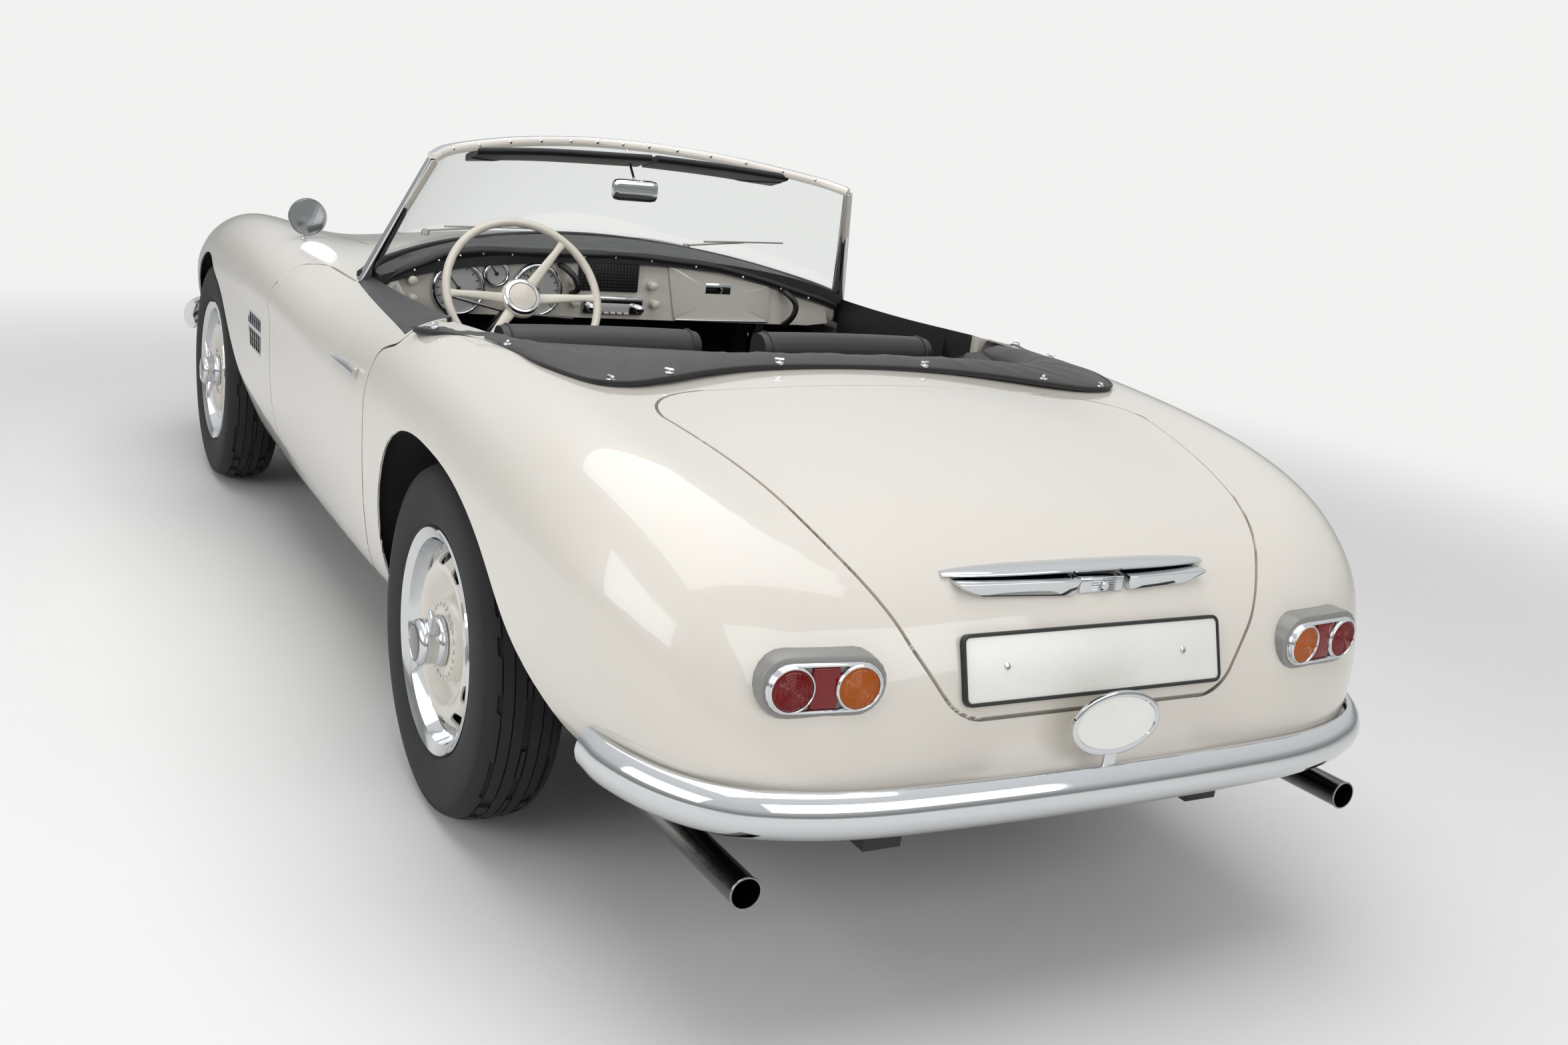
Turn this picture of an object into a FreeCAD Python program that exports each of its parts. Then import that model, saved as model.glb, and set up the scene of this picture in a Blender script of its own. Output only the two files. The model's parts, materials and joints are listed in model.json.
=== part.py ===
import FreeCAD
import Part
import math
import os

Vector = FreeCAD.Vector

# driving dimensions in millimetres; x forward, y to the left, z up, ground at z = 0
overallLength = 4380.0
bodyWidth = 1650.0
overallHeight = 1257.0
cowlHeight = 1000.0
wheelbase = 2480.0
rearOverhang = 1085.0
frontTrack = 1445.0
rearTrack = 1425.0
tyreRadius = 348.0
tyreWidth = 165.0
rimRadius = 212.0
skin = 4.0
sheet = 3.0
shutGap = 6.0
seat = 0.3
overrun = 60.0

halfWidth = bodyWidth / 2
frontOverhang = overallLength - rearOverhang - wheelbase
rearAxleX = rearOverhang - overallLength / 2
frontAxleX = rearAxleX + wheelbase
noseX = overallLength / 2
tailX = -overallLength / 2

# body places measured forward of the rear axle
doorRearPlace = 486.0
doorFrontPlace = 1521.0
doorInnerY = 672.0
doorBottomZ = 300.0
doorTrim = 14.0
hingeOutset = 6.0
cabinFloorZ = 228.0
bootFloorZ = 470.0
bulkheadPlace = 262.0
firewallPlace = 1655.0
bootHingePlace = -262.0
bonnetRearPlace = 1452.0
dashPlace = 1040.0
bumperHeight = 445.0
bumperDepth = 34.0

# body stations: x share of the rear overhang, wheelbase or front overhang, bow share of the half width,
# lean in millimetres per millimetre above the lean height, then (y, z) shares from keel to top centre
leanHeight = 600.0
stationShares = [
    ("rear", 0.900, 0.0, 0.22, [
        (0, .470), (.133, .470), (.242, .472), (.273, .480), (.285, .492), (.288, .505), (.286, .520),
        (.279, .530), (.242, .540), (.182, .545), (.133, .546), (.085, .547), (.042, .547), (0, .547)]),
    ("rear", 0.897, .012, 0.30, [
        (0, .420), (.315, .420), (.485, .430), (.564, .455), (.594, .500), (.606, .550), (.600, .595),
        (.582, .625), (.521, .650), (.430, .662), (.339, .666), (.230, .669), (.115, .670), (0, .670)]),
    ("rear", 0.848, .034, 0.26, [
        (0, .390), (.461, .390), (.655, .400), (.752, .440), (.788, .500), (.800, .570), (.794, .630),
        (.776, .675), (.709, .712), (.594, .728), (.467, .728), (.327, .732), (.158, .735), (0, .736)]),
    ("rear", 0.770, .048, 0.12, [
        (0, .375), (.533, .375), (.764, .395), (.855, .445), (.895, .525), (.907, .590), (.900, .660),
        (.882, .710), (.812, .768), (.694, .790), (.564, .782), (.400, .784), (.194, .787), (0, .788)]),
    ("rear", 0.627, .036, 0.0, [
        (0, .360), (.582, .360), (.824, .380), (.903, .430), (.952, .520), (.970, .590), (.970, .680),
        (.958, .730), (.897, .818), (.776, .860), (.642, .844), (.473, .846), (.230, .856), (0, .858)]),
    ("rear", 0.387, .012, 0.0, [
        (0, .300), (.606, .300), (.848, .330), (.927, .385), (.970, .480), (.992, .560), (.996, .690),
        (.988, .740), (.946, .842), (.836, .902), (.703, .892), (.533, .888), (.267, .905), (0, .909)]),
    ("base", 0.000, 0.0, 0.0, [
        (0, .260), (.630, .260), (.867, .290), (.939, .350), (.976, .450), (.994, .560), (1.0, .710),
        (.996, .750), (.964, .848), (.861, .918), (.727, .918), (.570, .908), (.291, .922), (0, .930)]),
    ("base", 0.133, 0.0, 0.0, [
        (0, .230), (.630, .230), (.848, .260), (.927, .320), (.970, .430), (.988, .540), (.996, .690),
        (.994, .742), (.970, .830), (.885, .903), (.752, .920), (.582, .912), (.291, .922), (0, .928)]),
    ("base", 0.262, 0.0, 0.0, [
        (0, .215), (.630, .215), (.848, .240), (.927, .300), (.970, .420), (.992, .540), (.996, .682),
        (.994, .740), (.964, .810), (.897, .868), (.776, .900), (.606, .908), (.303, .920), (0, .925)]),
    ("base", 0.403, 0.0, 0.0, [
        (0, .215), (.630, .215), (.848, .240), (.927, .300), (.970, .420), (.988, .540), (.994, .690),
        (.994, .735), (.958, .802), (.897, .850), (.788, .886), (.606, .938), (.303, .968), (0, .978)]),
    ("base", 0.565, 0.0, 0.0, [
        (0, .215), (.630, .215), (.848, .240), (.927, .300), (.964, .420), (.979, .540), (.982, .720),
        (1.004, .745), (.964, .815), (.897, .860), (.788, .892), (.606, .938), (.303, .975), (0, .988)]),
    ("base", 0.706, 0.0, 0.0, [
        (0, .220), (.630, .220), (.848, .250), (.927, .310), (.964, .430), (.977, .540), (.977, .700),
        (1.006, .731), (.970, .815), (.897, .868), (.788, .884), (.606, .884), (.291, .930), (0, .948)]),
    ("base", 0.847, 0.0, 0.0, [
        (0, .230), (.630, .230), (.848, .265), (.927, .330), (.964, .440), (.979, .550), (.979, .680),
        (1.006, .712), (.970, .820), (.885, .880), (.776, .887), (.582, .842), (.291, .884), (0, .900)]),
    ("base", 1.000, 0.0, 0.0, [
        (0, .260), (.630, .260), (.848, .300), (.927, .360), (.970, .460), (.988, .560), (.996, .665),
        (1.006, .700), (.964, .805), (.867, .868), (.752, .868), (.558, .796), (.279, .824), (0, .838)]),
    ("front", 0.393, .024, 0.0, [
        (0, .300), (.582, .300), (.800, .340), (.891, .400), (.945, .480), (.970, .560), (.976, .640),
        (.970, .680), (.927, .765), (.824, .820), (.703, .812), (.521, .740), (.261, .762), (0, .774)]),
    ("front", 0.650, .070, 0.05, [
        (0, .340), (.533, .340), (.752, .370), (.848, .420), (.903, .490), (.927, .550), (.927, .615),
        (.915, .655), (.867, .720), (.776, .755), (.655, .748), (.485, .695), (.242, .706), (0, .712)]),
    ("front", 0.755, .105, 0.14, [
        (0, .380), (.461, .380), (.655, .400), (.752, .440), (.806, .500), (.824, .540), (.824, .590),
        (.806, .625), (.752, .665), (.655, .682), (.545, .676), (.400, .656), (.194, .662), (0, .665)]),
    ("front", 0.805, .100, 0.14, [
        (0, .440), (.339, .440), (.485, .450), (.558, .475), (.600, .510), (.612, .535), (.612, .565),
        (.600, .590), (.558, .612), (.485, .622), (.400, .622), (.291, .620), (.145, .622), (0, .624)]),
    ("front", 0.885, 0.0, 0.14, [
        (0, .500), (.133, .500), (.242, .503), (.273, .512), (.285, .525), (.288, .535), (.286, .548),
        (.279, .556), (.242, .565), (.182, .570), (.133, .570), (.085, .570), (.042, .570), (0, .570)]),
]


# general helpers
def place(fromRearAxle):
    return rearAxleX + fromRearAxle


def box(x0, x1, y0, y1, z0, z1):
    return Part.makeBox(x1 - x0, y1 - y0, z1 - z0, Vector(x0, y0, z0))


def cylinder(radius, start, end):
    along = end - start
    return Part.makeCylinder(radius, along.Length, start, along)


def cone(radius0, radius1, start, end):
    along = end - start
    return Part.makeCone(radius0, radius1, along.Length, start, along)


def roundedWire(corners, toSpace):
    # corners are (a, b, radius) in the drawing plane; toSpace puts a drawing point in the model
    starts, mids, ends = [], [], []
    count = len(corners)
    for i in range(count):
        a, b, radius = corners[i]
        corner = Vector(a, b, 0)
        before = Vector(corners[i - 1][0], corners[i - 1][1], 0)
        after = Vector(corners[(i + 1) % count][0], corners[(i + 1) % count][1], 0)
        toBefore = (before - corner).normalize()
        toAfter = (after - corner).normalize()
        half = toBefore.getAngle(toAfter) / 2
        reach = radius / math.tan(half) if radius else 0
        starts.append(corner + toBefore * reach)
        ends.append(corner + toAfter * reach)
        bisector = (toBefore + toAfter)
        if radius and bisector.Length > 0:
            bisector.normalize()
            mids.append(corner + bisector * (radius / math.sin(half) - radius))
        else:
            mids.append(None)
    edges = []
    for i in range(count):
        if mids[i] is not None:
            edges.append(Part.Arc(toSpace(starts[i]), toSpace(mids[i]), toSpace(ends[i])).toShape())
        nextStart = starts[(i + 1) % count]
        if (nextStart - ends[i]).Length > seat:
            edges.append(Part.makeLine(toSpace(ends[i]), toSpace(nextStart)))
    return Part.Wire(Part.__sortEdges__(edges))


def sidePrism(corners, y0, y1):
    wire = roundedWire(corners, lambda p: Vector(p.x, y0, p.y))
    return Part.Face(wire).extrude(Vector(0, y1 - y0, 0))


def planPrism(corners, z0, z1):
    wire = roundedWire(corners, lambda p: Vector(p.x, p.y, z0))
    return Part.Face(wire).extrude(Vector(0, 0, z1 - z0))


def frontPrism(corners, x0, x1):
    wire = roundedWire(corners, lambda p: Vector(x0, p.x, p.y))
    return Part.Face(wire).extrude(Vector(x1 - x0, 0, 0))


def splineSidePrism(points, y0, y1):
    # a closed side outline: one smooth curve through the points, closed by a straight line
    places = [Vector(x, y0, z) for x, z in points]
    curve = Part.BSplineCurve()
    curve.interpolate(places)
    wire = Part.Wire([curve.toShape(), Part.makeLine(places[-1], places[0])])
    return Part.Face(wire).extrude(Vector(0, y1 - y0, 0))


def smoothEdge(places):
    curve = Part.BSplineCurve()
    curve.interpolate(places)
    return curve.toShape()


def ribbon(lower, upper, along):
    # a strip ruled between two smooth curves, given thickness along a vector
    face = Part.makeRuledSurface(smoothEdge(lower), smoothEdge(upper))
    return face.extrude(along)


def tube(points, radius, bend):
    # a round bar along straight runs joined by tangent arcs
    edges = []
    start = points[0]
    for i in range(1, len(points) - 1):
        corner = points[i]
        back = (points[i - 1] - corner).normalize()
        ahead = (points[i + 1] - corner).normalize()
        half = back.getAngle(ahead) / 2
        reach = bend / math.tan(half)
        arcStart = corner + back * reach
        arcEnd = corner + ahead * reach
        middle = corner + (back + ahead).normalize() * (bend / math.sin(half) - bend)
        edges.append(Part.makeLine(start, arcStart))
        edges.append(Part.Arc(arcStart, middle, arcEnd).toShape())
        start = arcEnd
    edges.append(Part.makeLine(start, points[-1]))
    path = Part.Wire(edges)
    direction = (points[1] - points[0]).normalize()
    profile = Part.Wire(Part.makeCircle(radius, points[0], direction))
    return path.makePipeShell([profile], True, False)


def revolve(profile, centre, axis):
    # profile is a list of (radius, distance along the axis); turned about the axis through centre
    base = Vector(1, 0, 0) if abs(axis.x) < abs(axis.z) + abs(axis.y) else Vector(0, 0, 1)
    side = axis.cross(base).normalize()
    points = [centre + side * r + axis * d for r, d in profile]
    points.append(points[0])
    face = Part.Face(Part.makePolygon(points))
    return face.revolve(centre, axis, 360)


def mirrorY(shape):
    return shape.mirror(Vector(0, 0, 0), Vector(0, 1, 0))


def both(shape):
    return [shape, mirrorY(shape)]


def fuse(shapes):
    joined = shapes[0]
    for other in shapes[1:]:
        joined = joined.fuse(other)
    return joined.removeSplitter()


def keepSolids(shape, smallest=500.0):
    solids = [s for s in shape.Solids if s.Volume > smallest]
    return solids[0] if len(solids) == 1 else Part.makeCompound(solids)


def save(name, shape):
    shape.exportStep("parts/" + name + ".step")
    print(name, len(shape.Solids), "solids", round(shape.Volume / 1e6, 2), "litres")


# the body's master surface
def stationX(zone, share):
    if zone == "rear":
        return rearAxleX - share * rearOverhang
    if zone == "base":
        return rearAxleX + share * wheelbase
    return frontAxleX + share * frontOverhang


def bodyRings():
    rings = []
    for zone, xShare, bowShare, lean, points in stationShares:
        forward = 1 if zone == "front" else -1
        ring = []
        for yShare, zShare in points:
            z = zShare * cowlHeight
            bow = bowShare * halfWidth * (1 - yShare * yShare) * forward
            ring.append(Vector(stationX(zone, xShare) + bow + lean * (z - leanHeight), yShare * halfWidth, z))
        ring += [Vector(p.x, -p.y, p.z) for p in ring[-2:0:-1]]
        rings.append(ring)
    return rings


def insetRings(rings, depth, openDrop):
    # the same net moved inwards; the lowest rows drop so that the shell is open below
    inner = []
    last = len(rings) - 1
    for i, ring in enumerate(rings):
        count = len(ring)
        moved = []
        centre = (ring[0] + ring[count // 2]) * 0.5
        for j, point in enumerate(ring):
            if i in (0, last):
                inwards = (centre - point).normalize() * depth
                target = point + inwards + Vector(depth if i == 0 else -depth, 0, 0)
            else:
                along = rings[i + 1][j] - rings[i - 1][j]
                across = ring[(j + 1) % count] - ring[j - 1]
                target = point + along.cross(across).normalize() * depth
                if min(j, count - j) <= 1:
                    target = target - Vector(0, 0, openDrop)
            moved.append(target)
        inner.append(moved)
    return inner


def ringSolid(rings):
    across = len(rings[0])
    surface = Part.BSplineSurface()
    rowKnots = list(range(len(rings) - 2))
    rowMults = [4] + [1] * (len(rings) - 4) + [4]
    columnKnots = list(range(across + 1))
    columnMults = [1] * (across + 1)
    surface.buildFromPolesMultsKnots(
        rings, rowMults, columnMults, rowKnots, columnKnots, False, True, 3, 3)
    skinFace = surface.toShape()
    caps = [Part.Face(Part.Wire(edge)) for edge in skinFace.Edges if edge.isClosed()]
    shell = Part.makeShell([skinFace] + caps)
    shell.sewShape()
    solid = Part.makeSolid(shell)
    solid.fix(seat, seat, seat)
    if solid.Volume < 0:
        solid.reverse()
    return solid


def sweepSolid(centres, section):
    # one smooth solid along points in plan; section is a closed list of (outwards, up) offsets
    rings = []
    last = len(centres) - 1
    for i, centre in enumerate(centres):
        tangent = centres[min(i + 1, last)] - centres[max(i - 1, 0)]
        side = Vector(tangent.y, -tangent.x, 0).normalize()
        rings.append([centre + side * out + Vector(0, 0, up) for out, up in section])
    return ringSolid(rings)


# solids that all the panels are cut from
openDrop = 110.0
lidDepth = 18.0
channelSheet = 4.0
channelWidth = 26.0
rings = bodyRings()
outer = ringSolid(rings)
inner = ringSolid(insetRings(rings, skin, openDrop))
lining = ringSolid(insetRings(rings, skin + seat, openDrop))
lidInner = ringSolid(insetRings(rings, lidDepth, openDrop))
channelTop = ringSolid(insetRings(rings, lidDepth + seat, openDrop))
channelUnder = ringSolid(insetRings(rings, lidDepth + seat + channelSheet, openDrop))
channelClear = ringSolid(insetRings(rings, lidDepth + seat + channelSheet + seat, openDrop))
shell = outer.cut(inner)
high = cowlHeight + overrun

# wheel arches: outline points as shares of the tyre radius, x from the axle and z from the ground
rearArchShares = [
    (1.06, .575), (1.06, 1.05), (1.03, 1.35), (.96, 1.64), (.80, 1.90), (.489, 2.075), (0, 2.112), (-.517, 2.046),
    (-.977, 1.845), (-1.379, 1.514), (-1.638, 1.307), (-1.839, 1.10), (-2.0, .60)]
frontArchShares = [
    (1.092, .575), (1.086, 1.006), (1.006, 1.351), (.833, 1.652), (.595, 1.871), (.270, 2.046), (0, 2.092),
    (-.236, 2.075), (-.489, 1.954), (-.825, 1.667), (-1.092, 1.408), (-1.322, 1.227), (-1.609, 1.106),
    (-1.839, .948), (-2.011, .60)]
tyreRoomShare = 1.12
rearLinerShare = 1.06
frontLinerShare = 1.13
archInnerY = 600.0
rearLinerY = 592.0
frontLinerY = 450.0


def archPrism(axleX, shares, scale, grow, y0, y1):
    points = []
    for xShare, zShare in shares:
        x = xShare * tyreRadius * scale
        z = (zShare - 1) * tyreRadius * scale
        length = math.hypot(x, z)
        room = tyreRadius * tyreRoomShare if scale > 1 else 0
        factor = (max(length, room) + grow) / length
        points.append((axleX + x * factor, tyreRadius + z * factor))
    return splineSidePrism(points, y0, y1)


# doors: the outline in side view and the cowl corner that stays with the front body
doorTopZ = high
doorCorners = [
    (398.0, doorTopZ, 0), (398.0, 851.0, 14.0), (470.0, 826.0, 34.0), (470.0, 560.0, 900.0),
    (doorRearPlace, doorBottomZ + 130.0, 300.0), (doorRearPlace + 70.0, doorBottomZ, 60.0),
    (doorFrontPlace - 40.0, doorBottomZ, 60.0), (doorFrontPlace, 470.0, 300.0),
    (doorFrontPlace, 640.0, 400.0), (doorFrontPlace - 36.0, 790.0, 60.0), (doorFrontPlace - 36.0, doorTopZ, 0)]
cowlCorner = [
    (1066.0, 600.0, 0), (1066.0, 697.0, 10.0), (1331.0, 706.0, 300.0), (1440.0, 745.0, 60.0),
    (1486.0, 812.0, 40.0), (1560.0, 900.0, 0), (1560.0, 600.0, 0)]
cowlCornerZ = 792.0


def doorVolume(grow, y0, y1):
    corners = [(place(x), z, r) for x, z, r in doorCorners]
    wire = roundedWire(corners, lambda p: Vector(p.x, y0, p.y))
    if grow:
        wire = wire.makeOffset2D(grow)
    volume = Part.Face(wire).extrude(Vector(0, y1 - y0, 0))
    corner = [(place(x), y, r) for x, y, r in cowlCorner]
    wire = roundedWire(corner, lambda p: Vector(p.x, p.y, cowlCornerZ + grow))
    if grow:
        wire = wire.makeOffset2D(-grow)
    block = Part.Face(wire).extrude(Vector(0, 0, high))
    return volume.cut(block)


bonnetCorners = [
    (bonnetRearPlace, 0, 0), (bonnetRearPlace, 563.0, 70.0), (2100.0, 540.0, 900.0), (2480.0, 500.0, 900.0),
    (2800.0, 455.0, 500.0), (3030.0, 380.0, 120.0), (3030.0, 0, 0)]
bonnetFrontPlace = 3030.0


def halfOutline(corners):
    # corners on the left from one centre point to the other, completed on the right
    return corners[1:-1] + [(x, -y, r) for x, y, r in corners[-2:0:-1]]


def bonnetPrism(grow):
    corners = [(place(x), y, r) for x, y, r in halfOutline(bonnetCorners)]
    wire = roundedWire(corners, lambda p: Vector(p.x, p.y, cabinFloorZ))
    if grow:
        wire = wire.makeOffset2D(grow)
    return Part.Face(wire).extrude(Vector(0, 0, high - cabinFloorZ))


# boot lid outline on a plane that leans back; first value is along the slope from the axle at ground level
bootCorners = [(640.0, 0, 0), (640.0, 603.0, 0), (-20.0, 442.0, 600.0), (-200.0, 345.0, 200.0),
               (-304.0, 265.0, 90.0), (-304.0, 0, 0)]
# its front end in plan, where the shut face stands upright so that the lid swings clear of the deck
bootFrontCorners = [(-252.0, 0, 0), (-252.0, 562.0, 150.0), (-900.0, 440.0, 0), (-1250.0, 440.0, 0), (-1250.0, 0, 0)]
lean = math.radians(45.0)
bootDepth0 = 760.0
bootDepth1 = 1320.0


def bootPrism(grow):
    along = Vector(math.cos(lean), 0, math.sin(lean))
    out = Vector(-math.sin(lean), 0, math.cos(lean))
    origin = Vector(rearAxleX, 0, 0) + out * bootDepth0
    wire = roundedWire(halfOutline(bootCorners), lambda p: origin + along * p.x + Vector(0, p.y, 0))
    if grow:
        wire = wire.makeOffset2D(grow)
    slope = Part.Face(wire).extrude(out * (bootDepth1 - bootDepth0))
    corners = [(place(x), y, r) for x, y, r in halfOutline(bootFrontCorners)]
    wire = roundedWire(corners, lambda p: Vector(p.x, p.y, 0))
    if grow:
        wire = wire.makeOffset2D(grow)
    return slope.common(Part.Face(wire).extrude(Vector(0, 0, high)))


cockpitCorners = [
    (-70.0, 0, 0), (-70.0, 560.0, 200.0), (60.0, 625.0, 100.0), (330.0, 668.0, 60.0), (380.0, 690.0, 20.0),
    (1060.0, 690.0, 20.0), (1090.0, 655.0, 30.0), (1180.0, 560.0, 120.0), (1330.0, 280.0, 300.0), (1355.0, 0, 0)]


def cockpitPrism(grow, z0):
    corners = [(place(x), y, r) for x, y, r in halfOutline(cockpitCorners)]
    wire = roundedWire(corners, lambda p: Vector(p.x, p.y, z0))
    if grow:
        wire = wire.makeOffset2D(grow)
    return Part.Face(wire).extrude(Vector(0, 0, high - z0))


# lamps and grilles let into the nose and tail
headlampY = 600.0
headlampZ = 622.0
headlampRadius = 86.0
headlampFront = 3122.0
indicatorY = 618.0
indicatorZ = 500.0
indicatorRadius = 34.0
grilleCorners = [(52.0, 512.0, 24.0), (52.0, 628.0, 34.0), (425.0, 602.0, 26.0), (425.0, 532.0, 26.0)]
ventCorners = [(1652.0, 560.0, 12.0), (1640.0, 668.0, 12.0), (1800.0, 668.0, 12.0), (1840.0, 640.0, 16.0),
               (1812.0, 560.0, 20.0)]


def grillePrism(grow):
    wire = roundedWire(grilleCorners, lambda p: Vector(place(2900.0), p.x, p.y))
    if grow:
        wire = wire.makeOffset2D(grow)
    return Part.Face(wire).extrude(Vector(noseX - place(2900.0), 0, 0))


def ventPrism(grow):
    corners = [(place(x), z, r) for x, z, r in ventCorners]
    wire = roundedWire(corners, lambda p: Vector(p.x, archInnerY, p.y))
    if grow:
        wire = wire.makeOffset2D(grow)
    return Part.Face(wire).extrude(Vector(0, halfWidth + overrun - archInnerY, 0))


def lampBore(y, z, radius):
    return cylinder(radius, Vector(place(2700.0), y, z), Vector(noseX, y, z))


def channel(prism):
    # the folded edge and drain channel that a lid sits in
    wall = prism(shutGap + sheet).cut(prism(shutGap)).common(outer).cut(channelUnder)
    ledge = prism(shutGap + seat).cut(prism(-channelWidth)).common(channelTop).cut(channelUnder)
    return wall.fuse(ledge)


def doorFrame():
    # the flanged frame round the door opening, with the blocks that the hinges bolt to
    frameWidth = 16.0
    stepY = 775.0
    stepGap = 14.0
    hingeBlock = (752.0, 796.0)
    hingeHeights = ((410.0, 460.0), (640.0, 690.0))
    y0 = doorInnerY - doorTrim - seat
    full = doorVolume(shutGap + stepGap + frameWidth, y0, halfWidth + overrun)
    cut = doorVolume(shutGap, y0 - overrun, halfWidth + overrun)
    step = doorVolume(shutGap + stepGap, y0 - overrun, stepY)
    blocks = [box(place(doorFrontPlace) + seat, place(doorFrontPlace) + shutGap + stepGap + sheet,
                  hingeBlock[0], hingeBlock[1], z0, z1) for z0, z1 in hingeHeights]
    frame = full.cut(cut).cut(step)
    return frame.fuse(blocks).common(inner)


def bodyShell():
    cutters = both(doorVolume(shutGap, doorInnerY - overrun, halfWidth + overrun))
    cutters += [cockpitPrism(0, doorBottomZ + overrun), bonnetPrism(shutGap), bootPrism(shutGap)]
    for axleX, shares in ((rearAxleX, rearArchShares), (frontAxleX, frontArchShares)):
        cutters += both(archPrism(axleX, shares, 1, 0, archInnerY, halfWidth + overrun))
    cutters += both(grillePrism(0)) + both(ventPrism(0))
    cutters += both(lampBore(headlampY, headlampZ, headlampRadius + seat))
    cutters += both(lampBore(indicatorY, indicatorZ, indicatorRadius + seat))
    body = shell.cut(cutters)
    extras = both(doorFrame()) + [channel(bonnetPrism), channel(bootPrism)]
    return body.fuse(extras)


sillFrontPlace = 1600.0
sillRearPlace = 392.0
splitPlace = 1000.0


def bodyPanels():
    body = bodyShell()
    sillTop = doorBottomZ - shutGap
    long = (place(sillRearPlace), place(sillFrontPlace))
    sillBox = box(long[0], long[1], -bodyWidth, bodyWidth, 0, sillTop)
    save("sill_panels", keepSolids(body.common(sillBox)))
    split = place(splitPlace)
    front = body.common(box(split, noseX, -bodyWidth, bodyWidth, 0, high)).cut(sillBox)
    rear = body.common(box(tailX, split, -bodyWidth, bodyWidth, 0, high)).cut(sillBox)
    save("front_body", keepSolids(front))
    save("rear_body", keepSolids(rear))


def bonnet():
    panel = bonnetPrism(0).common(outer).cut(lidInner)
    save("bonnet", keepSolids(panel))


def bootLid():
    panel = bootPrism(0).common(outer).cut(lidInner)
    save("boot_lid", keepSolids(panel))


rollPlaces = (412.0, 1100.0)
rollWidth = 96.0
rollBottomZ = 815.0


def trimPocket(grow):
    # the leather roll along the top of a door, between the trim panel and the painted edge
    faceY = doorInnerY - doorTrim
    rear = place(rollPlaces[0]) - grow
    front = place(rollPlaces[1]) + grow
    corners = [(rear, faceY - grow, 0), (rear, faceY + rollWidth + grow, 0),
               (front, faceY + rollWidth / 3 + grow, 0), (front, faceY - grow, 0)]
    return planPrism(corners, rollBottomZ - grow, high)


def doors():
    volume = outer.common(doorVolume(0, doorInnerY, halfWidth + overrun))
    panel = keepSolids(volume.cut(trimPocket(seat)))
    save("door_left", panel)
    save("door_right", mirrorY(panel))
    inset = 24.0
    x0 = place(doorRearPlace) + inset
    x1 = place(doorFrontPlace) - inset
    z0 = doorBottomZ + inset
    board = box(x0, x1, doorInnerY - doorTrim, doorInnerY - seat, z0, high)
    board = board.common(doorVolume(-inset, doorInnerY - doorTrim, doorInnerY)).common(outer)
    roll = outer.common(trimPocket(0)).common(doorVolume(-sheet, 0, halfWidth))
    trim = keepSolids(board.fuse(roll))
    save("door_trim_left", trim)
    save("door_trim_right", mirrorY(trim))


def doorHandles():
    length = 206.0
    height = 30.0
    zMiddle = 754.0
    front = place(747.0)
    standOff = 14.0
    section = [(standOff, height / 2), (standOff * 0.7, height / 2), (0, 0), (standOff * 0.7, -height / 2),
               (standOff, -height / 2), (standOff * 1.6, 0)]
    yFace = 806.0
    rows = []
    for share, size in ((0, .9), (.25, 1.0), (.5, .8), (.8, .45), (1, .2)):
        centre = Vector(front - length * (1 - share), yFace, zMiddle)
        rows.append([centre + Vector(0, a * 1.2, b * size) for a, b in section])
    handle = ringSolid(rows).cut(outer)
    handle = keepSolids(handle)
    save("door_handle_left", handle)
    save("door_handle_right", mirrorY(handle))


tunnelTopZ = 400.0
tailLinerZ = 408.0


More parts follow.
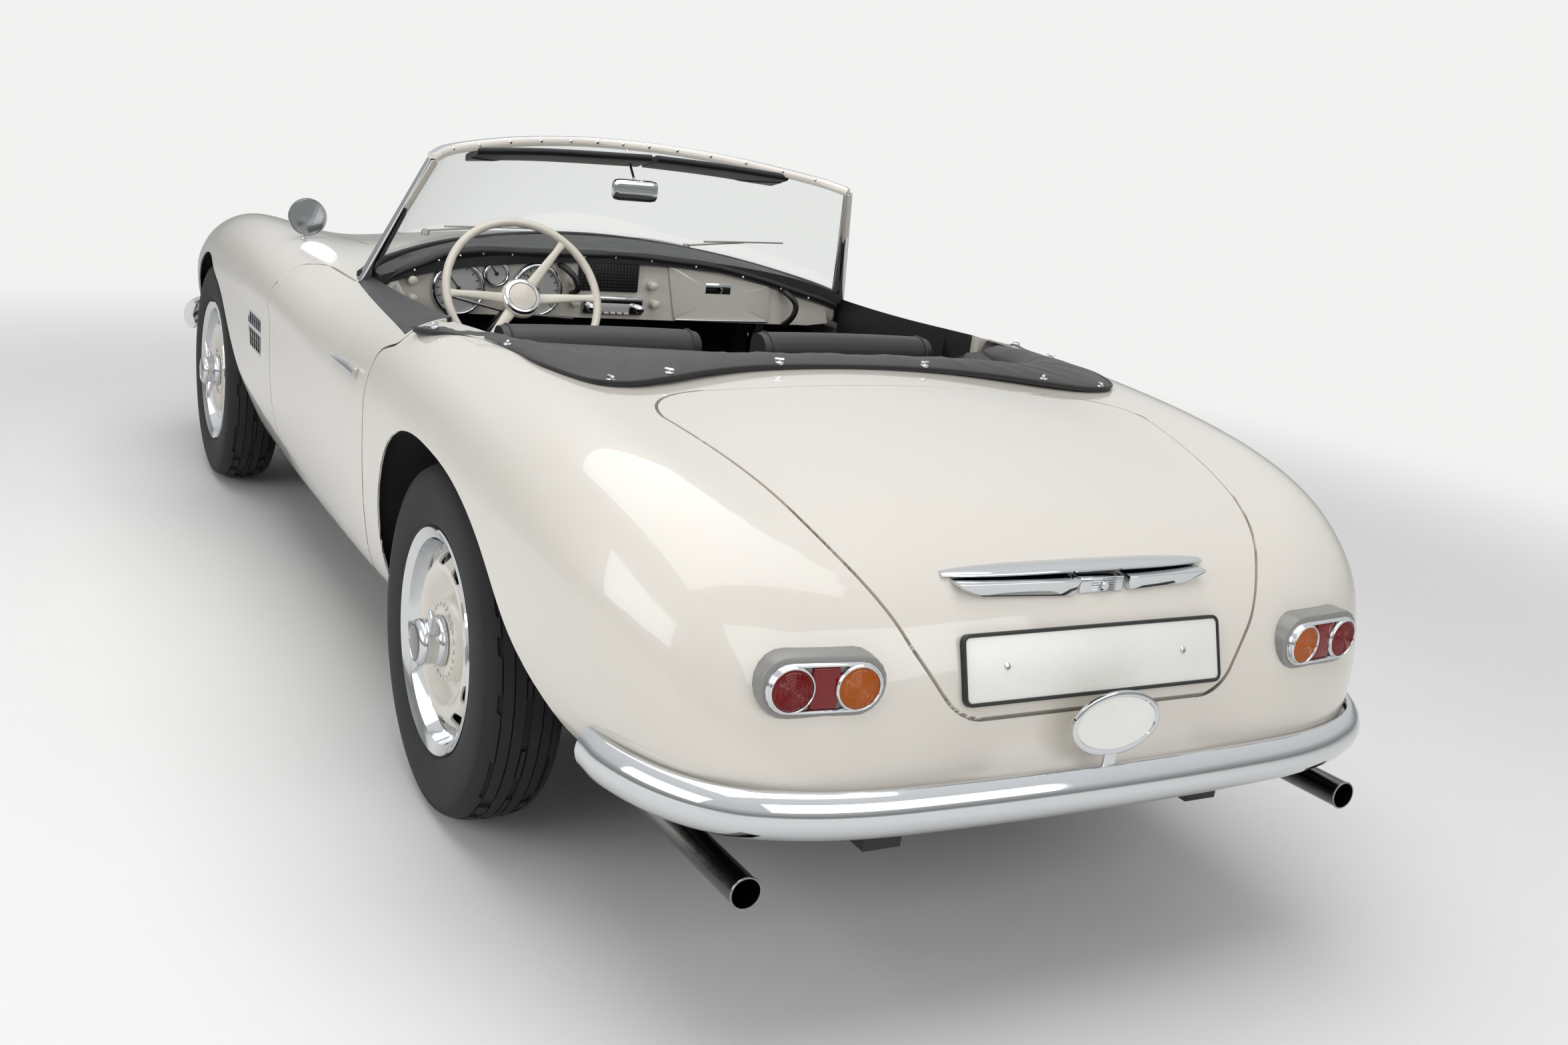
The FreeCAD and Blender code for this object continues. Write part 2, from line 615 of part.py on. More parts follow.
def innerPanels():
    # floor, tunnel, bulkheads, boot floor and wheel housings, welded up from three pressed structures
    floorWidth = 652.0
    tunnelWidth = 86.0
    sillBoxTop = doorBottomZ - shutGap - seat
    front = place(firewallPlace)
    back = place(bulkheadPlace)
    tailEnd = place(-900.0)
    pans = [box(back, front, -floorWidth, floorWidth, cabinFloorZ, cabinFloorZ + sheet)]
    pans.append(box(front, front + sheet, -floorWidth, floorWidth, cabinFloorZ, high))
    pans.append(box(back - sheet, back, -floorWidth, floorWidth, cabinFloorZ, high))
    pans.append(box(tailEnd, back, -floorWidth, floorWidth, bootFloorZ, bootFloorZ + sheet))
    pans.append(box(tailEnd - sheet, tailEnd, -floorWidth, floorWidth, bootFloorZ, bootFloorZ + overrun))
    tunnel = box(back, front, -tunnelWidth, tunnelWidth, cabinFloorZ, tunnelTopZ)
    hollow = box(back - sheet, front + sheet, -tunnelWidth + sheet, tunnelWidth - sheet, 0, tunnelTopZ - sheet)
    pans.append(tunnel)
    pans += [box(back - sheet, front + sheet, y - sheet, y, cabinFloorZ, sillBoxTop)
             for y in (-floorWidth, floorWidth + sheet)]
    for axleX, shares, scale, wall in ((rearAxleX, rearArchShares, rearLinerShare, rearLinerY),
                                       (frontAxleX, frontArchShares, frontLinerShare, frontLinerY)):
        liner = archPrism(axleX, shares, scale, sheet, wall - sheet, halfWidth)
        pans += both(liner)
    structure = fuse(pans).cut(hollow)
    for axleX, shares, scale, wall in ((rearAxleX, rearArchShares, rearLinerShare, rearLinerY),
                                       (frontAxleX, frontArchShares, frontLinerShare, frontLinerY)):
        for room in both(archPrism(axleX, shares, scale, 0, wall, halfWidth + overrun)):
            structure = structure.cut(room)
    windowHalf = 150.0
    windowTop = 540.0
    for axleX in (rearAxleX, frontAxleX):
        for side in both(box(axleX - windowHalf, axleX + windowHalf, frontLinerY - overrun, archInnerY, 0, windowTop)):
            structure = structure.cut(side)
    tailUnder = place(-430.0)
    cutters = [box(tailX, noseX, -bodyWidth, bodyWidth, 0, cabinFloorZ),
               box(tailX, tailUnder, -bodyWidth, bodyWidth, 0, tailLinerZ)]
    cutters += both(rail(seat))
    for prism in (bonnetPrism, bootPrism):
        cutters.append(prism(shutGap + sheet + seat).cut(channelClear))
    structure = structure.common(lining).cut(cutters)
    save("boot_panels", keepSolids(structure.common(box(tailX, back - sheet, -bodyWidth, bodyWidth, 0, high))))
    save("inner_panels", keepSolids(structure.common(
        box(back - sheet, front + sheet, -bodyWidth, bodyWidth, 0, high))))
    save("engine_bay_panels", keepSolids(structure.common(
        box(front + sheet, noseX, -bodyWidth, bodyWidth, 0, high))))


# chassis and running gear
railY = (300.0, 370.0)
railHeight = 74.0
railUnderZ = 150.0
railFrontZ = 300.0
railRearZ = 392.0
railTailZ = 318.0
railFrontPlace = 2900.0
railTailPlace = -930.0
jackPadPlaces = (640.0, 1300.0)
jackPadRadius = 30.0
jackPadThick = 8.0
kingpinY = 630.0
wishboneLowZ = 222.0
wishboneHighZ = 476.0
wishboneThick = 26.0
ballRadius = 26.0
spindleRadius = 18.0
spindleReach = tyreWidth / 4 - 5.0
axleTubeRadius = 38.0
backplateRadius = 136.0
drumRadius = 142.0
drumDepth = 46.0


def rail(grow):
    wire = roundedWire([
        (place(railTailPlace), railTailZ, 0), (place(-430.0), railTailZ, 80.0),
        (place(-330.0), railRearZ, 80.0), (place(240.0), railRearZ, 80.0),
        (place(360.0), railUnderZ, 80.0), (place(1560.0), railUnderZ, 80.0),
        (place(1760.0), railFrontZ, 80.0), (place(railFrontPlace), railFrontZ, 0),
        (place(railFrontPlace), railFrontZ + railHeight, 0), (place(1730.0), railFrontZ + railHeight, 60.0),
        (place(1530.0), railUnderZ + railHeight, 60.0), (place(400.0), railUnderZ + railHeight, 60.0),
        (place(280.0), railRearZ + railHeight, 60.0), (place(-360.0), railRearZ + railHeight, 60.0),
        (place(-460.0), railTailZ + railHeight, 60.0), (place(railTailPlace), railTailZ + railHeight, 0)],
        lambda p: Vector(p.x, railY[0] - grow, p.y))
    if grow:
        wire = wire.makeOffset2D(grow)
    return Part.Face(wire).extrude(Vector(0, railY[1] - railY[0] + grow * 2, 0))


def frame():
    crossWidth = 70.0
    parts = both(rail(0))
    for x, z in ((railTailPlace + crossWidth, railTailZ), (560.0, railUnderZ), (1480.0, railUnderZ),
                 (railFrontPlace - crossWidth, railFrontZ)):
        parts.append(box(place(x) - crossWidth / 2, place(x) + crossWidth / 2, -railY[1], railY[1],
                         z, z + railHeight))
    outriggerWidth = 60.0
    sillY = 640.0
    for x in (700.0, 1380.0):
        parts.append(box(place(x) - outriggerWidth / 2, place(x) + outriggerWidth / 2, -sillY, sillY,
                         cabinFloorZ - railHeight / 2, cabinFloorZ - seat))
    for x in jackPadPlaces:
        centre = Vector(place(x), (railY[0] + railY[1]) / 2, railUnderZ)
        parts += both(cylinder(jackPadRadius, centre - Vector(0, 0, jackPadThick), centre + Vector(0, 0, sheet)))
    return fuse(parts)


gearboxRadius = 80.0
gearboxZ = 312.0


def engine():
    length = 640.0
    width = 500.0
    bottom = 245.0
    height = 520.0
    rear = place(1700.0)
    block = box(rear, rear + length, -width / 2, width / 2, bottom, bottom + height)
    block = block.makeChamfer(width / 8, [e for e in block.Edges if e.BoundBox.ZMin > bottom + height - seat
                                          and e.BoundBox.XLength > length - seat])
    gearbox = cone(gearboxRadius, gearboxRadius * 0.75, Vector(rear, 0, gearboxZ), Vector(place(900.0), 0, gearboxZ))
    return Part.makeCompound([block, gearbox])


def wishbone(z, reachX, y0):
    # an A-shaped arm from the crossmember to the ball joint under or over the upright
    armRadius = 12.5
    ball = Vector(frontAxleX, kingpinY, z)
    pad = cylinder(ballRadius, ball - Vector(0, 0, wishboneThick / 2), ball + Vector(0, 0, wishboneThick / 2))
    arms = [cylinder(armRadius, Vector(frontAxleX + dx, y0, z), ball) for dx in (-reachX, reachX)]
    pivot = cylinder(armRadius * 1.3, Vector(frontAxleX - reachX - armRadius, y0, z),
                     Vector(frontAxleX + reachX + armRadius, y0, z))
    return fuse([pad, pivot] + arms)


def frontSuspension():
    beamWidth = 130.0
    beamTop = railFrontZ - seat
    beam = box(frontAxleX - beamWidth / 2, frontAxleX + beamWidth / 2, -railY[1], railY[1],
               wishboneLowZ - wishboneThick / 2, beamTop)
    lower = wishbone(wishboneLowZ, 110.0, railY[1] + ballRadius / 2)
    upper = wishbone(wishboneHighZ, 90.0, railY[1] + ballRadius)
    towerHalf = 60.0
    tower = box(frontAxleX - towerHalf, frontAxleX + towerHalf, railY[1] + seat, railY[1] + ballRadius * 2,
                railFrontZ, wishboneHighZ + ballRadius)
    springRadius = 34.0
    springY = railY[1] + ballRadius * 4
    spring = cylinder(springRadius, Vector(frontAxleX, springY, wishboneLowZ),
                      Vector(frontAxleX, springY, wishboneHighZ - ballRadius))
    pan = box(frontAxleX - towerHalf * 1.3, frontAxleX + towerHalf * 1.3, springY - springRadius,
              springY + springRadius, wishboneLowZ - sheet, wishboneLowZ + sheet)
    bridge = box(frontAxleX - towerHalf, frontAxleX + towerHalf, railY[1] + seat, springY + springRadius,
                 wishboneHighZ - ballRadius, wishboneHighZ)
    link = box(frontAxleX - towerHalf, frontAxleX + towerHalf, railY[0], railY[1] + ballRadius * 2,
               wishboneLowZ - wishboneThick / 2, beamTop)
    side = fuse([lower, upper, tower, spring, pan, bridge, link])
    return fuse([beam] + both(side))


def knuckle():
    # the upright with its stub axle, back plate and steering arm
    thick = 30.0
    low = wishboneLowZ + wishboneThick / 2 + seat
    high = wishboneHighZ - wishboneThick / 2 - seat
    post = cylinder(thick / 2 * 1.3, Vector(frontAxleX, kingpinY, low), Vector(frontAxleX, kingpinY, high))
    boss = cylinder(thick * 1.2, Vector(frontAxleX, kingpinY, tyreRadius),
                    Vector(frontAxleX, kingpinY + thick, tyreRadius))
    spindle = cylinder(spindleRadius, Vector(frontAxleX, kingpinY, tyreRadius),
                       Vector(frontAxleX, frontTrack / 2 + spindleReach, tyreRadius))
    plate = cylinder(backplateRadius, Vector(frontAxleX, kingpinY + thick, tyreRadius),
                     Vector(frontAxleX, kingpinY + thick + sheet, tyreRadius))
    armReach = 130.0
    arm = box(frontAxleX - armReach, frontAxleX, kingpinY - thick / 2, kingpinY, low + thick, low + thick * 1.6)
    return fuse([post, boss, spindle, plate, arm])


def rearAxle():
    centreZ = tyreRadius
    carrierY = kingpinY - overrun / 2
    thick = 30.0
    tubeBar = cylinder(axleTubeRadius, Vector(rearAxleX, -carrierY, centreZ), Vector(rearAxleX, carrierY, centreZ))
    casingRadius = 105.0
    casing = Part.makeSphere(casingRadius, Vector(rearAxleX, 0, centreZ))
    nose = cone(casingRadius * 0.8, casingRadius * 0.45, Vector(rearAxleX, 0, centreZ),
                Vector(rearAxleX + casingRadius * 2, 0, centreZ))
    spindle = cylinder(spindleRadius, Vector(rearAxleX, 0, centreZ),
                       Vector(rearAxleX, rearTrack / 2 + spindleReach, centreZ))
    plate = cylinder(backplateRadius, Vector(rearAxleX, carrierY, centreZ),
                     Vector(rearAxleX, carrierY + sheet, centreZ))
    armY = 470.0
    armWidth = 44.0
    armFront = 520.0
    armTop = railUnderZ + railHeight - sheet
    armLow = railUnderZ + railHeight / 4
    arm = sidePrism([
        (rearAxleX - armWidth, centreZ - axleTubeRadius * 2, 10.0),
        (rearAxleX + armWidth, centreZ - axleTubeRadius * 2, 10.0),
        (place(bulkheadPlace - overrun), armLow, 60.0), (place(armFront), armLow, 10.0),
        (place(armFront), armTop, 10.0), (place(bulkheadPlace - overrun), armTop, 60.0),
        (rearAxleX + armWidth, centreZ, 10.0), (rearAxleX - armWidth, centreZ, 10.0)],
        armY - armWidth / 2, armY + armWidth / 2)
    bush = cylinder(armWidth / 2, Vector(place(armFront), railY[1] + seat, railUnderZ + railHeight * 0.6),
                    Vector(place(armFront), armY + armWidth / 2, railUnderZ + railHeight * 0.6))
    springRadius = 50.0
    spring = cylinder(springRadius, Vector(rearAxleX, armY, centreZ), Vector(rearAxleX, armY, bootFloorZ - seat))
    return fuse([tubeBar, casing, nose] + both(fuse([spindle, plate, arm, bush, spring])))


exhaustTipY = 614.0
exhaustTipZ = 329.0
exhaustTipPlace = -1005.0
exhaustRadius = 21.5
exhaustWall = 2.0
silencerRadius = 52.0


def exhaust():
    route = [(1790.0, 190.0, 245.0), (1790.0, 190.0, 127.0), (260.0, 205.0, 127.0), (60.0, 210.0, 214.0),
             (-260.0, 250.0, 230.0), (-520.0, 560.0, 300.0), (-640.0, exhaustTipY, 322.0),
             (exhaustTipPlace, exhaustTipY, exhaustTipZ)]
    points = [Vector(place(x), y, z) for x, y, z in route]
    bend = 60.0
    pipe = tube(points, exhaustRadius, bend)
    start = points[-2] + (points[-1] - points[-2]) * 0.12
    end = points[-2] + (points[-1] - points[-2]) * 0.62
    silencer = cylinder(silencerRadius, start, end)
    silencer = silencer.makeFillet(silencerRadius / 4, [silencer.Edges[0], silencer.Edges[2]])
    along = (points[-1] - points[-2]).normalize()
    bore = cylinder(exhaustRadius - exhaustWall, points[-1] - along * overrun, points[-1] + along * overrun)
    hanger = box(end.x, end.x + exhaustRadius, exhaustTipY - exhaustRadius,
                 exhaustTipY + exhaustRadius, exhaustTipZ, bootFloorZ - seat)
    side = fuse([pipe, silencer]).cut(bore)
    return Part.makeCompound(both(keepSolids(side.fuse(hanger).common(lining.fuse(
        box(tailX, noseX, -bodyWidth, bodyWidth, 0, bootFloorZ - overrun))))))


def fuelTank():
    tank = box(place(-820.0), place(-470.0), -railY[0] + seat, railY[0] - seat, 300.0, bootFloorZ - seat)
    return tank.makeFillet(30.0, [e for e in tank.Edges if e.BoundBox.ZLength < seat and e.BoundBox.ZMin < 310.0])


# outside fittings
rearBumperPath = [(-650.0, 806.0), (-740.0, 790.0), (-860.0, 745.0), (-965.0, 655.0), (-1028.0, 480.0),
                  (-1050.0, 240.0), (-1056.0, 0), (-1050.0, -240.0), (-1028.0, -480.0), (-965.0, -655.0),
                  (-860.0, -745.0), (-740.0, -790.0), (-650.0, -806.0)]
bumperSection = [(-14.0, 46.0), (4.0, 52.0), (24.0, 36.0), (34.0, 0), (24.0, -36.0), (4.0, -52.0),
                 (-14.0, -46.0), (-4.0, -20.0), (2.0, 0), (-4.0, 20.0)]
frontBumperPath = [(2950.0, 790.0), (3040.0, 757.0), (3120.0, 700.0), (3192.0, 575.0), (3236.0, 390.0),
                   (3259.0, 190.0), (3266.0, 0), (3259.0, -190.0), (3236.0, -390.0), (3192.0, -575.0),
                   (3120.0, -700.0), (3040.0, -757.0), (2950.0, -790.0)]


def bumperBar(path, forward, z):
    centres = [Vector(place(x), y, z) for x, y in path]
    section = [(out * forward, up) for out, up in bumperSection]
    return sweepSolid(centres, section)


def bumper(path, forward, z, ironPlace, railEnd):
    bar = bumperBar(path, forward, z)
    ironY = (320.0, 350.0)
    ironHeight = 40.0
    x0, x1 = sorted((place(ironPlace), place(railEnd)))
    iron = box(x0, x1, ironY[0], ironY[1], z - ironHeight / 2, z + ironHeight / 2)
    drop = box(x0 if forward > 0 else x1 - ironHeight, x0 + ironHeight if forward > 0 else x1,
               ironY[0], ironY[1], z - ironHeight * 3, z + ironHeight / 2)
    irons = iron.fuse(drop).cut(box(place(railTailPlace), place(railFrontPlace), -halfWidth, halfWidth, 0, z))
    return fuse([bar] + both(keepSolids(irons.cut(outer))))


def grilles():
    slatCount = 11
    slatWidth = 5.0
    rimWidth = 9.0
    depth = 16.0
    y0 = grilleCorners[0][0]
    y1 = grilleCorners[2][0]
    pitch = (y1 - y0) / (slatCount + 1)
    opening = grillePrism(-seat)
    rim = opening.cut(grillePrism(-rimWidth))
    bars = [box(place(2900.0), noseX, y0 + pitch * (i + 1) - slatWidth / 2, y0 + pitch * (i + 1) + slatWidth / 2,
                cabinFloorZ, high).common(opening) for i in range(slatCount)]
    pattern = rim.fuse(bars)
    side = keepSolids(pattern.common(outer).cut(outer.translated(Vector(-depth, 0, 0))))
    return Part.makeCompound(both(side))


def headlamps():
    axis = Vector(1, 0, 0)
    centre = Vector(place(headlampFront), headlampY, headlampZ)
    r = headlampRadius
    profile = [(0, -r), (r * 0.7, -r * 0.8), (r, -r * 0.35), (r, 0), (r * 0.94, r * 0.10), (r * 0.86, r * 0.10),
               (r * 0.80, r * 0.16), (r * 0.55, r * 0.26), (r * 0.28, r * 0.31), (0, r * 0.33)]
    return Part.makeCompound(both(revolve(profile, centre, axis)))


def indicators():
    axis = Vector(1, 0, 0)
    r = indicatorRadius
    centre = Vector(place(3110.0), indicatorY, indicatorZ)
    profile = [(0, -r * 2), (r, -r * 2), (r, 0), (r * 0.85, r * 0.2), (r * 0.5, r * 0.45), (0, r * 0.55)]
    return Part.makeCompound(both(revolve(profile, centre, axis)))


tailLampY = 505.0
tailLampZ = 626.0
tailLampSize = (206.0, 105.0)
tailLampFace = -977.0
lensOffset = 52.0
lensRadius = 35.0


def tailLamps():
    half = tailLampSize[0] / 2
    tall = tailLampSize[1] / 2
    pod = frontPrism([
        (tailLampY - half, tailLampZ - tall, tall * 0.98), (tailLampY + half, tailLampZ - tall, tall * 0.98),
        (tailLampY + half, tailLampZ + tall, tall * 0.98), (tailLampY - half, tailLampZ + tall, tall * 0.98)],
        place(tailLampFace), place(tailLampFace + tall * 2))
    pod = pod.cut(outer.translated(Vector(-seat, 0, 0)))
    lenses = []
    for dy in (-lensOffset, lensOffset):
        r = lensRadius
        centre = Vector(place(tailLampFace) - seat / 3, tailLampY + dy, tailLampZ)
        profile = [(0, 0), (r + 5.0, 0), (r + 5.0, r * 0.15), (r, r * 0.25), (r * 0.8, r * 0.4), (r * 0.4, r * 0.5),
                   (0, r * 0.52)]
        lenses.append(revolve(profile, centre, Vector(-1, 0, 0)))
    return Part.makeCompound(both(keepSolids(pod)) + lenses + [mirrorY(lens) for lens in lenses])


def sideVents():
    slatCount = 6
    slat = 6.0
    depth = 14.0
    opening = ventPrism(-seat)
    rim = opening.cut(ventPrism(-slat))
    x0 = place(ventCorners[1][0])
    pitch = (place(ventCorners[3][0]) - x0) / (slatCount + 1)
    bars = [box(x0 + pitch * (i + 1) - slat / 2, x0 + pitch * (i + 1) + slat / 2, archInnerY, bodyWidth,
                cabinFloorZ, high).common(opening) for i in range(slatCount)]
    bars.append(box(x0 - overrun, x0 + bodyWidth / 4, archInnerY, bodyWidth, ventBarZ - slat,
                    ventBarZ + slat).common(opening))
    pattern = rim.fuse(bars)
    side = keepSolids(pattern.common(outer).cut(outer.translated(Vector(0, -depth, 0))))
    return Part.makeCompound(both(side))


ventBarZ = 622.0

# windscreen: points of the base and top edges on the left half
screenBase = [(1092.0, 679.0, 884.0), (1190.0, 600.0, 908.0), (1300.0, 420.0, 943.0), (1365.0, 200.0, 968.0),
              (1385.0, 0, 976.0)]
screenTop = [(923.0, 569.0, 1189.0), (1000.0, 500.0, 1207.0), (1085.0, 330.0, 1230.0), (1140.0, 150.0, 1243.0),
             (1155.0, 0, 1247.0)]
glassThick = 6.0


def wholeEdge(points, lift):
    left = [Vector(place(x), y, z + lift) for x, y, z in points]
    return left + [Vector(p.x, -p.y, p.z) for p in left[-2::-1]]


def windscreenFrame():
    base = wholeEdge(screenBase, 0)
    top = wholeEdge(screenTop, 0)
    railSection = [(-9.0, 12.0), (0, 15.0), (10.0, 12.0), (13.0, 0), (10.0, -12.0), (0, -15.0), (-9.0, -12.0),
                   (-12.0, 0)]
    railLift = overallHeight - screenTop[-1][2] - 10.0
    rail = sweepSolid(wholeEdge(screenTop, railLift), railSection)
    sill = sweepSolid(wholeEdge(screenBase, 0), railSection)
    postWidth = 30.0
    postDepth = 44.0
    sections = []
    for corner, size in ((base[0], 1.25), (top[0] + Vector(0, 0, railLift + 8.0), 0.8)):
        w = postWidth * size / 2
        d = postDepth * size / 2
        sections.append(roundedWire([(corner.x - d, corner.y - w, w * 0.8), (corner.x + d, corner.y - w, w * 0.8),
                                     (corner.x + d, corner.y + w, w * 0.8), (corner.x - d, corner.y + w, w * 0.8)],
                                    lambda p, z=corner.z: Vector(p.x, p.y, z)))
    post = Part.makeLoft(sections, True, True)
    foot = Part.makeLoft([sections[0].translated(Vector(0, 0, -postDepth)), sections[0]], True, True)
    metal = fuse([rail, sill] + both(post.fuse(foot)))
    return keepSolids(metal.cut(outer.translated(Vector(0, 0, seat))))


def windscreen():
    metal = windscreenFrame()
    glass = ribbon(wholeEdge(screenBase, 0), wholeEdge(screenTop, 0), Vector(glassThick, 0, 0))
    save("windscreen_glass", keepSolids(glass.cut(metal).cut(outer)))
    save("windscreen_frame", metal)
    save("sun_visors", sunVisors(metal))
    save("interior_mirror", interiorMirror(metal))


def wipers():
    shapes = []
    for pivotY, reach in ((430.0, -300.0), (-120.0, -300.0)):
        pivot = Vector(place(1440.0), pivotY, 972.0)
        tip = pivot + Vector(-16.0, reach, 34.0)
        boss = cylinder(10.0, pivot - Vector(0, 0, overrun), pivot + Vector(0, 0, 8.0))
        arm = cylinder(4.0, pivot, tip)
        blade = cylinder(5.0, tip - Vector(0, 110.0, 0), tip + Vector(0, 110.0, -6.0))
        shapes += keepSolids(fuse([boss, arm, blade]).cut(outer.translated(Vector(0, 0, seat / 3)))).Solids
    return Part.makeCompound(shapes)


def sunVisors(metal):
    # a padded board at each side, hung from a rod under the top rail
    inward = Vector(-46.0, 0, 0)
    top = [Vector(place(1134.0), 76.0, 1222.0) + inward, Vector(place(1030.0), 440.0, 1192.0) + inward]
    low = [Vector(place(1160.0), 76.0, 1136.0) + inward, Vector(place(1058.0), 440.0, 1116.0) + inward]
    board = ribbon(low, top, Vector(10.0, 0, 0))
    rods = [cylinder(4.0, top[i] + Vector(5.0, dy, -6.0), top[i] + Vector(56.0, dy, 22.0))
            for i, dy in ((0, 30.0), (1, -30.0))]
    side = fuse([board] + rods).cut(metal)
    return Part.makeCompound(both(keepSolids(side)))


def interiorMirror(metal):
    head = box(place(1056.0), place(1070.0), -90.0, 90.0, 1130.0, 1178.0)
    head = head.makeFillet(6.0, head.Edges)
    stem = cylinder(6.0, Vector(place(1064.0), 0, 1160.0), Vector(place(1152.0), 0, 1246.0))
    return keepSolids(head.fuse(stem).cut(metal))


def exteriorMirror():
    foot = Vector(place(1761.0), 690.0, 872.0)
    head = foot + Vector(4.0, 18.0, 92.0)
    radius = 54.0
    stem = cone(16.0, 8.0, foot - Vector(0, 0, 20.0), head)
    axis = Vector(-1, 0, 0.1).normalize()
    profile = [(0, -radius * 0.75), (radius * 0.6, -radius * 0.6), (radius * 0.9, -radius * 0.3), (radius, 0),
               (radius * 0.94, radius * 0.06), (0, radius * 0.06)]
    shape = revolve(profile, head, axis).fuse(stem)
    return shape.cut(outer)


# inside fittings
dashThick = 22.0
dashBottomZ = 806.0
dashCorners = [(-640.0, dashBottomZ + 10.0, 20.0), (-640.0, 884.0, 20.0), (-500.0, 940.0, 300.0), (0, 985.0, 400.0),
               (500.0, 940.0, 300.0), (640.0, 884.0, 20.0), (640.0, dashBottomZ + 10.0, 20.0),
               (560.0, dashBottomZ, 60.0), (-560.0, dashBottomZ, 60.0)]
padDrop = 16.0
gaugeRadius = 60.0
gauges = [(460.0, 858.0, gaugeRadius), (234.0, 866.0, gaugeRadius), (347.0, 903.0, 27.0)]


def dashboard():
    board = frontPrism(dashCorners, place(dashPlace), place(dashPlace) + dashThick)
    return board.common(outer.translated(Vector(0, 0, -padDrop)))


padRearPlace = 1024.0
padHalfWidth = 650.0


def padPrism():
    # the cockpit outline less a running gap, tall enough for the raised pad
    corners = [(place(x), y, r) for x, y, r in halfOutline(cockpitCorners)]
    wire = roundedWire(corners, lambda p: Vector(p.x, p.y, doorBottomZ)).makeOffset2D(-seat)
    return Part.Face(wire).extrude(Vector(0, 0, high))


def dashPad():
    top = outer.translated(Vector(0, 0, skin * 2))
    under = outer.translated(Vector(0, 0, -padDrop + seat))
    front = box(place(padRearPlace), noseX, -padHalfWidth, padHalfWidth, doorBottomZ, high + overrun)
    pad = front.common(padPrism())
    return keepSolids(pad.common(top).cut(under))


def instruments():
    shapes = []
    for y, z, r in gauges:
        profile = [(0, 0), (r, 0), (r, 12.0), (r - 6.0, 20.0), (r - 10.0, 14.0), (0, 14.0)]
        shapes.append(revolve(profile, Vector(place(dashPlace) - seat / 3, y, z), Vector(-1, 0, 0)))
    return Part.makeCompound(shapes)


def dashFittings():
    x1 = place(dashPlace) - seat / 3
    grille = box(x1 - 6.0, x1, -74.0, 126.0, 866.0, 930.0)
    radio = box(x1 - 16.0, x1, -64.0, 116.0, dashBottomZ + 10.0, 860.0)
    knobs = [cylinder(12.0, Vector(x1, y, z), Vector(x1 - 26.0, y, z))
             for y, z in ((-110.0, 848.0), (-110.0, 890.0), (152.0, 836.0), (576.0, 834.0), (576.0, 862.0))]
    return Part.makeCompound([grille, radio] + knobs)


def grabHandles():
    shapes = []
    for y, z0, z1 in ((-530.0, 824.0, 878.0), (144.0, 856.0, 922.0)):
        x1 = place(dashPlace) - seat / 3
        points = [Vector(x1, y, z0), Vector(x1 - 40.0, y, z0), Vector(x1 - 40.0, y, z1), Vector(x1, y, z1)]
        shapes.append(tube(points, 8.0, 16.0))
    return Part.makeCompound(shapes)


columnRake = math.radians(31.0)
wheelHub = Vector(place(864.0), 346.0, 882.0)
columnAxis = Vector(-math.cos(columnRake), 0, math.sin(columnRake))
steeringRadius = 208.0
steeringGrip = 12.0
columnRadius = 19.0


def steeringWheel():
    hub = wheelHub
    ring = Part.makeTorus(steeringRadius, steeringGrip, hub, columnAxis)
    dish = 46.0
    boss = revolve([(0, -dish), (24.0, -dish), (44.0, -dish * 0.5), (56.0, -4.0), (50.0, 6.0), (0, 8.0)], hub, columnAxis)
    side = Vector(0, 1, 0)
    up = columnAxis.cross(side)
    parts = [ring, boss]
    for angle in (20.0, 160.0, 250.0, 290.0):
        a = math.radians(angle)
        direction = side * math.cos(a) + up * math.sin(a)
        parts.append(cone(12.0, 8.0, hub + direction * 30.0 - columnAxis * 14.0, hub + direction * steeringRadius))
    return fuse(parts)


def steeringColumn():
    start = wheelHub - columnAxis * 46.3
    length = (place(firewallPlace) - seat - start.x) / math.cos(columnRake)
    column = cylinder(columnRadius, start, start - columnAxis * (length - columnRadius * math.tan(columnRake)))
    stalkBase = start - columnAxis * 60.0
    stalk = cylinder(4.0, stalkBase, stalkBase + Vector(0, -170.0, -10.0))
    signal = cylinder(4.0, stalkBase, stalkBase + Vector(0, 170.0, 40.0))
    return fuse([column, stalk, signal])


seatY = 318.0
seatWidth = 485.0
seatTopZ = 880.0


def seatUnit():
    half = seatWidth / 2
    front = place(960.0)
    back = place(430.0)
    base = box(back, front, seatY - half + overrun, seatY + half - overrun / 2, cabinFloorZ + sheet + seat, 406.0)
    cushion = box(back - 30.0, front + 20.0, seatY - half, seatY + half, 406.0, 510.0)
    cushion = cushion.makeFillet(34.0, cushion.Edges)
    rest = sidePrism([(place(330.0), 408.0, 30.0), (place(450.0), 408.0, 30.0), (place(470.0), 540.0, 200.0),
                      (place(430.0), 800.0, 60.0), (place(436.0), seatTopZ, 50.0), (place(320.0), seatTopZ, 50.0),
                      (place(300.0), 760.0, 80.0)], seatY - half, seatY + half)
    shape = base.fuse(cushion).fuse(rest)
    return shape.removeSplitter()


def controls():
    tunnelClear = box(place(bulkheadPlace), place(firewallPlace), -halfWidth, halfWidth, 0, tunnelTopZ + seat)
    lever = cylinder(7.0, Vector(place(1120.0), 0, 401.5), Vector(place(1060.0), 0, 560.0)).cut(tunnelClear)
    knob = Part.makeSphere(22.0, Vector(place(1056.0), 0, 570.0))
    brake = cylinder(9.0, Vector(place(900.0), 50.0, 398.0), Vector(place(700.0), 50.0, 452.0)).cut(tunnelClear)
    floorTop = cabinFloorZ + sheet + seat
    pedals = [box(place(1500.0), place(1510.0), y - 30.0, y + 30.0, floorTop, 330.0)
              for y in (250.0, 350.0, 450.0)]
    return Part.makeCompound([lever.fuse(knob), brake] + pedals)


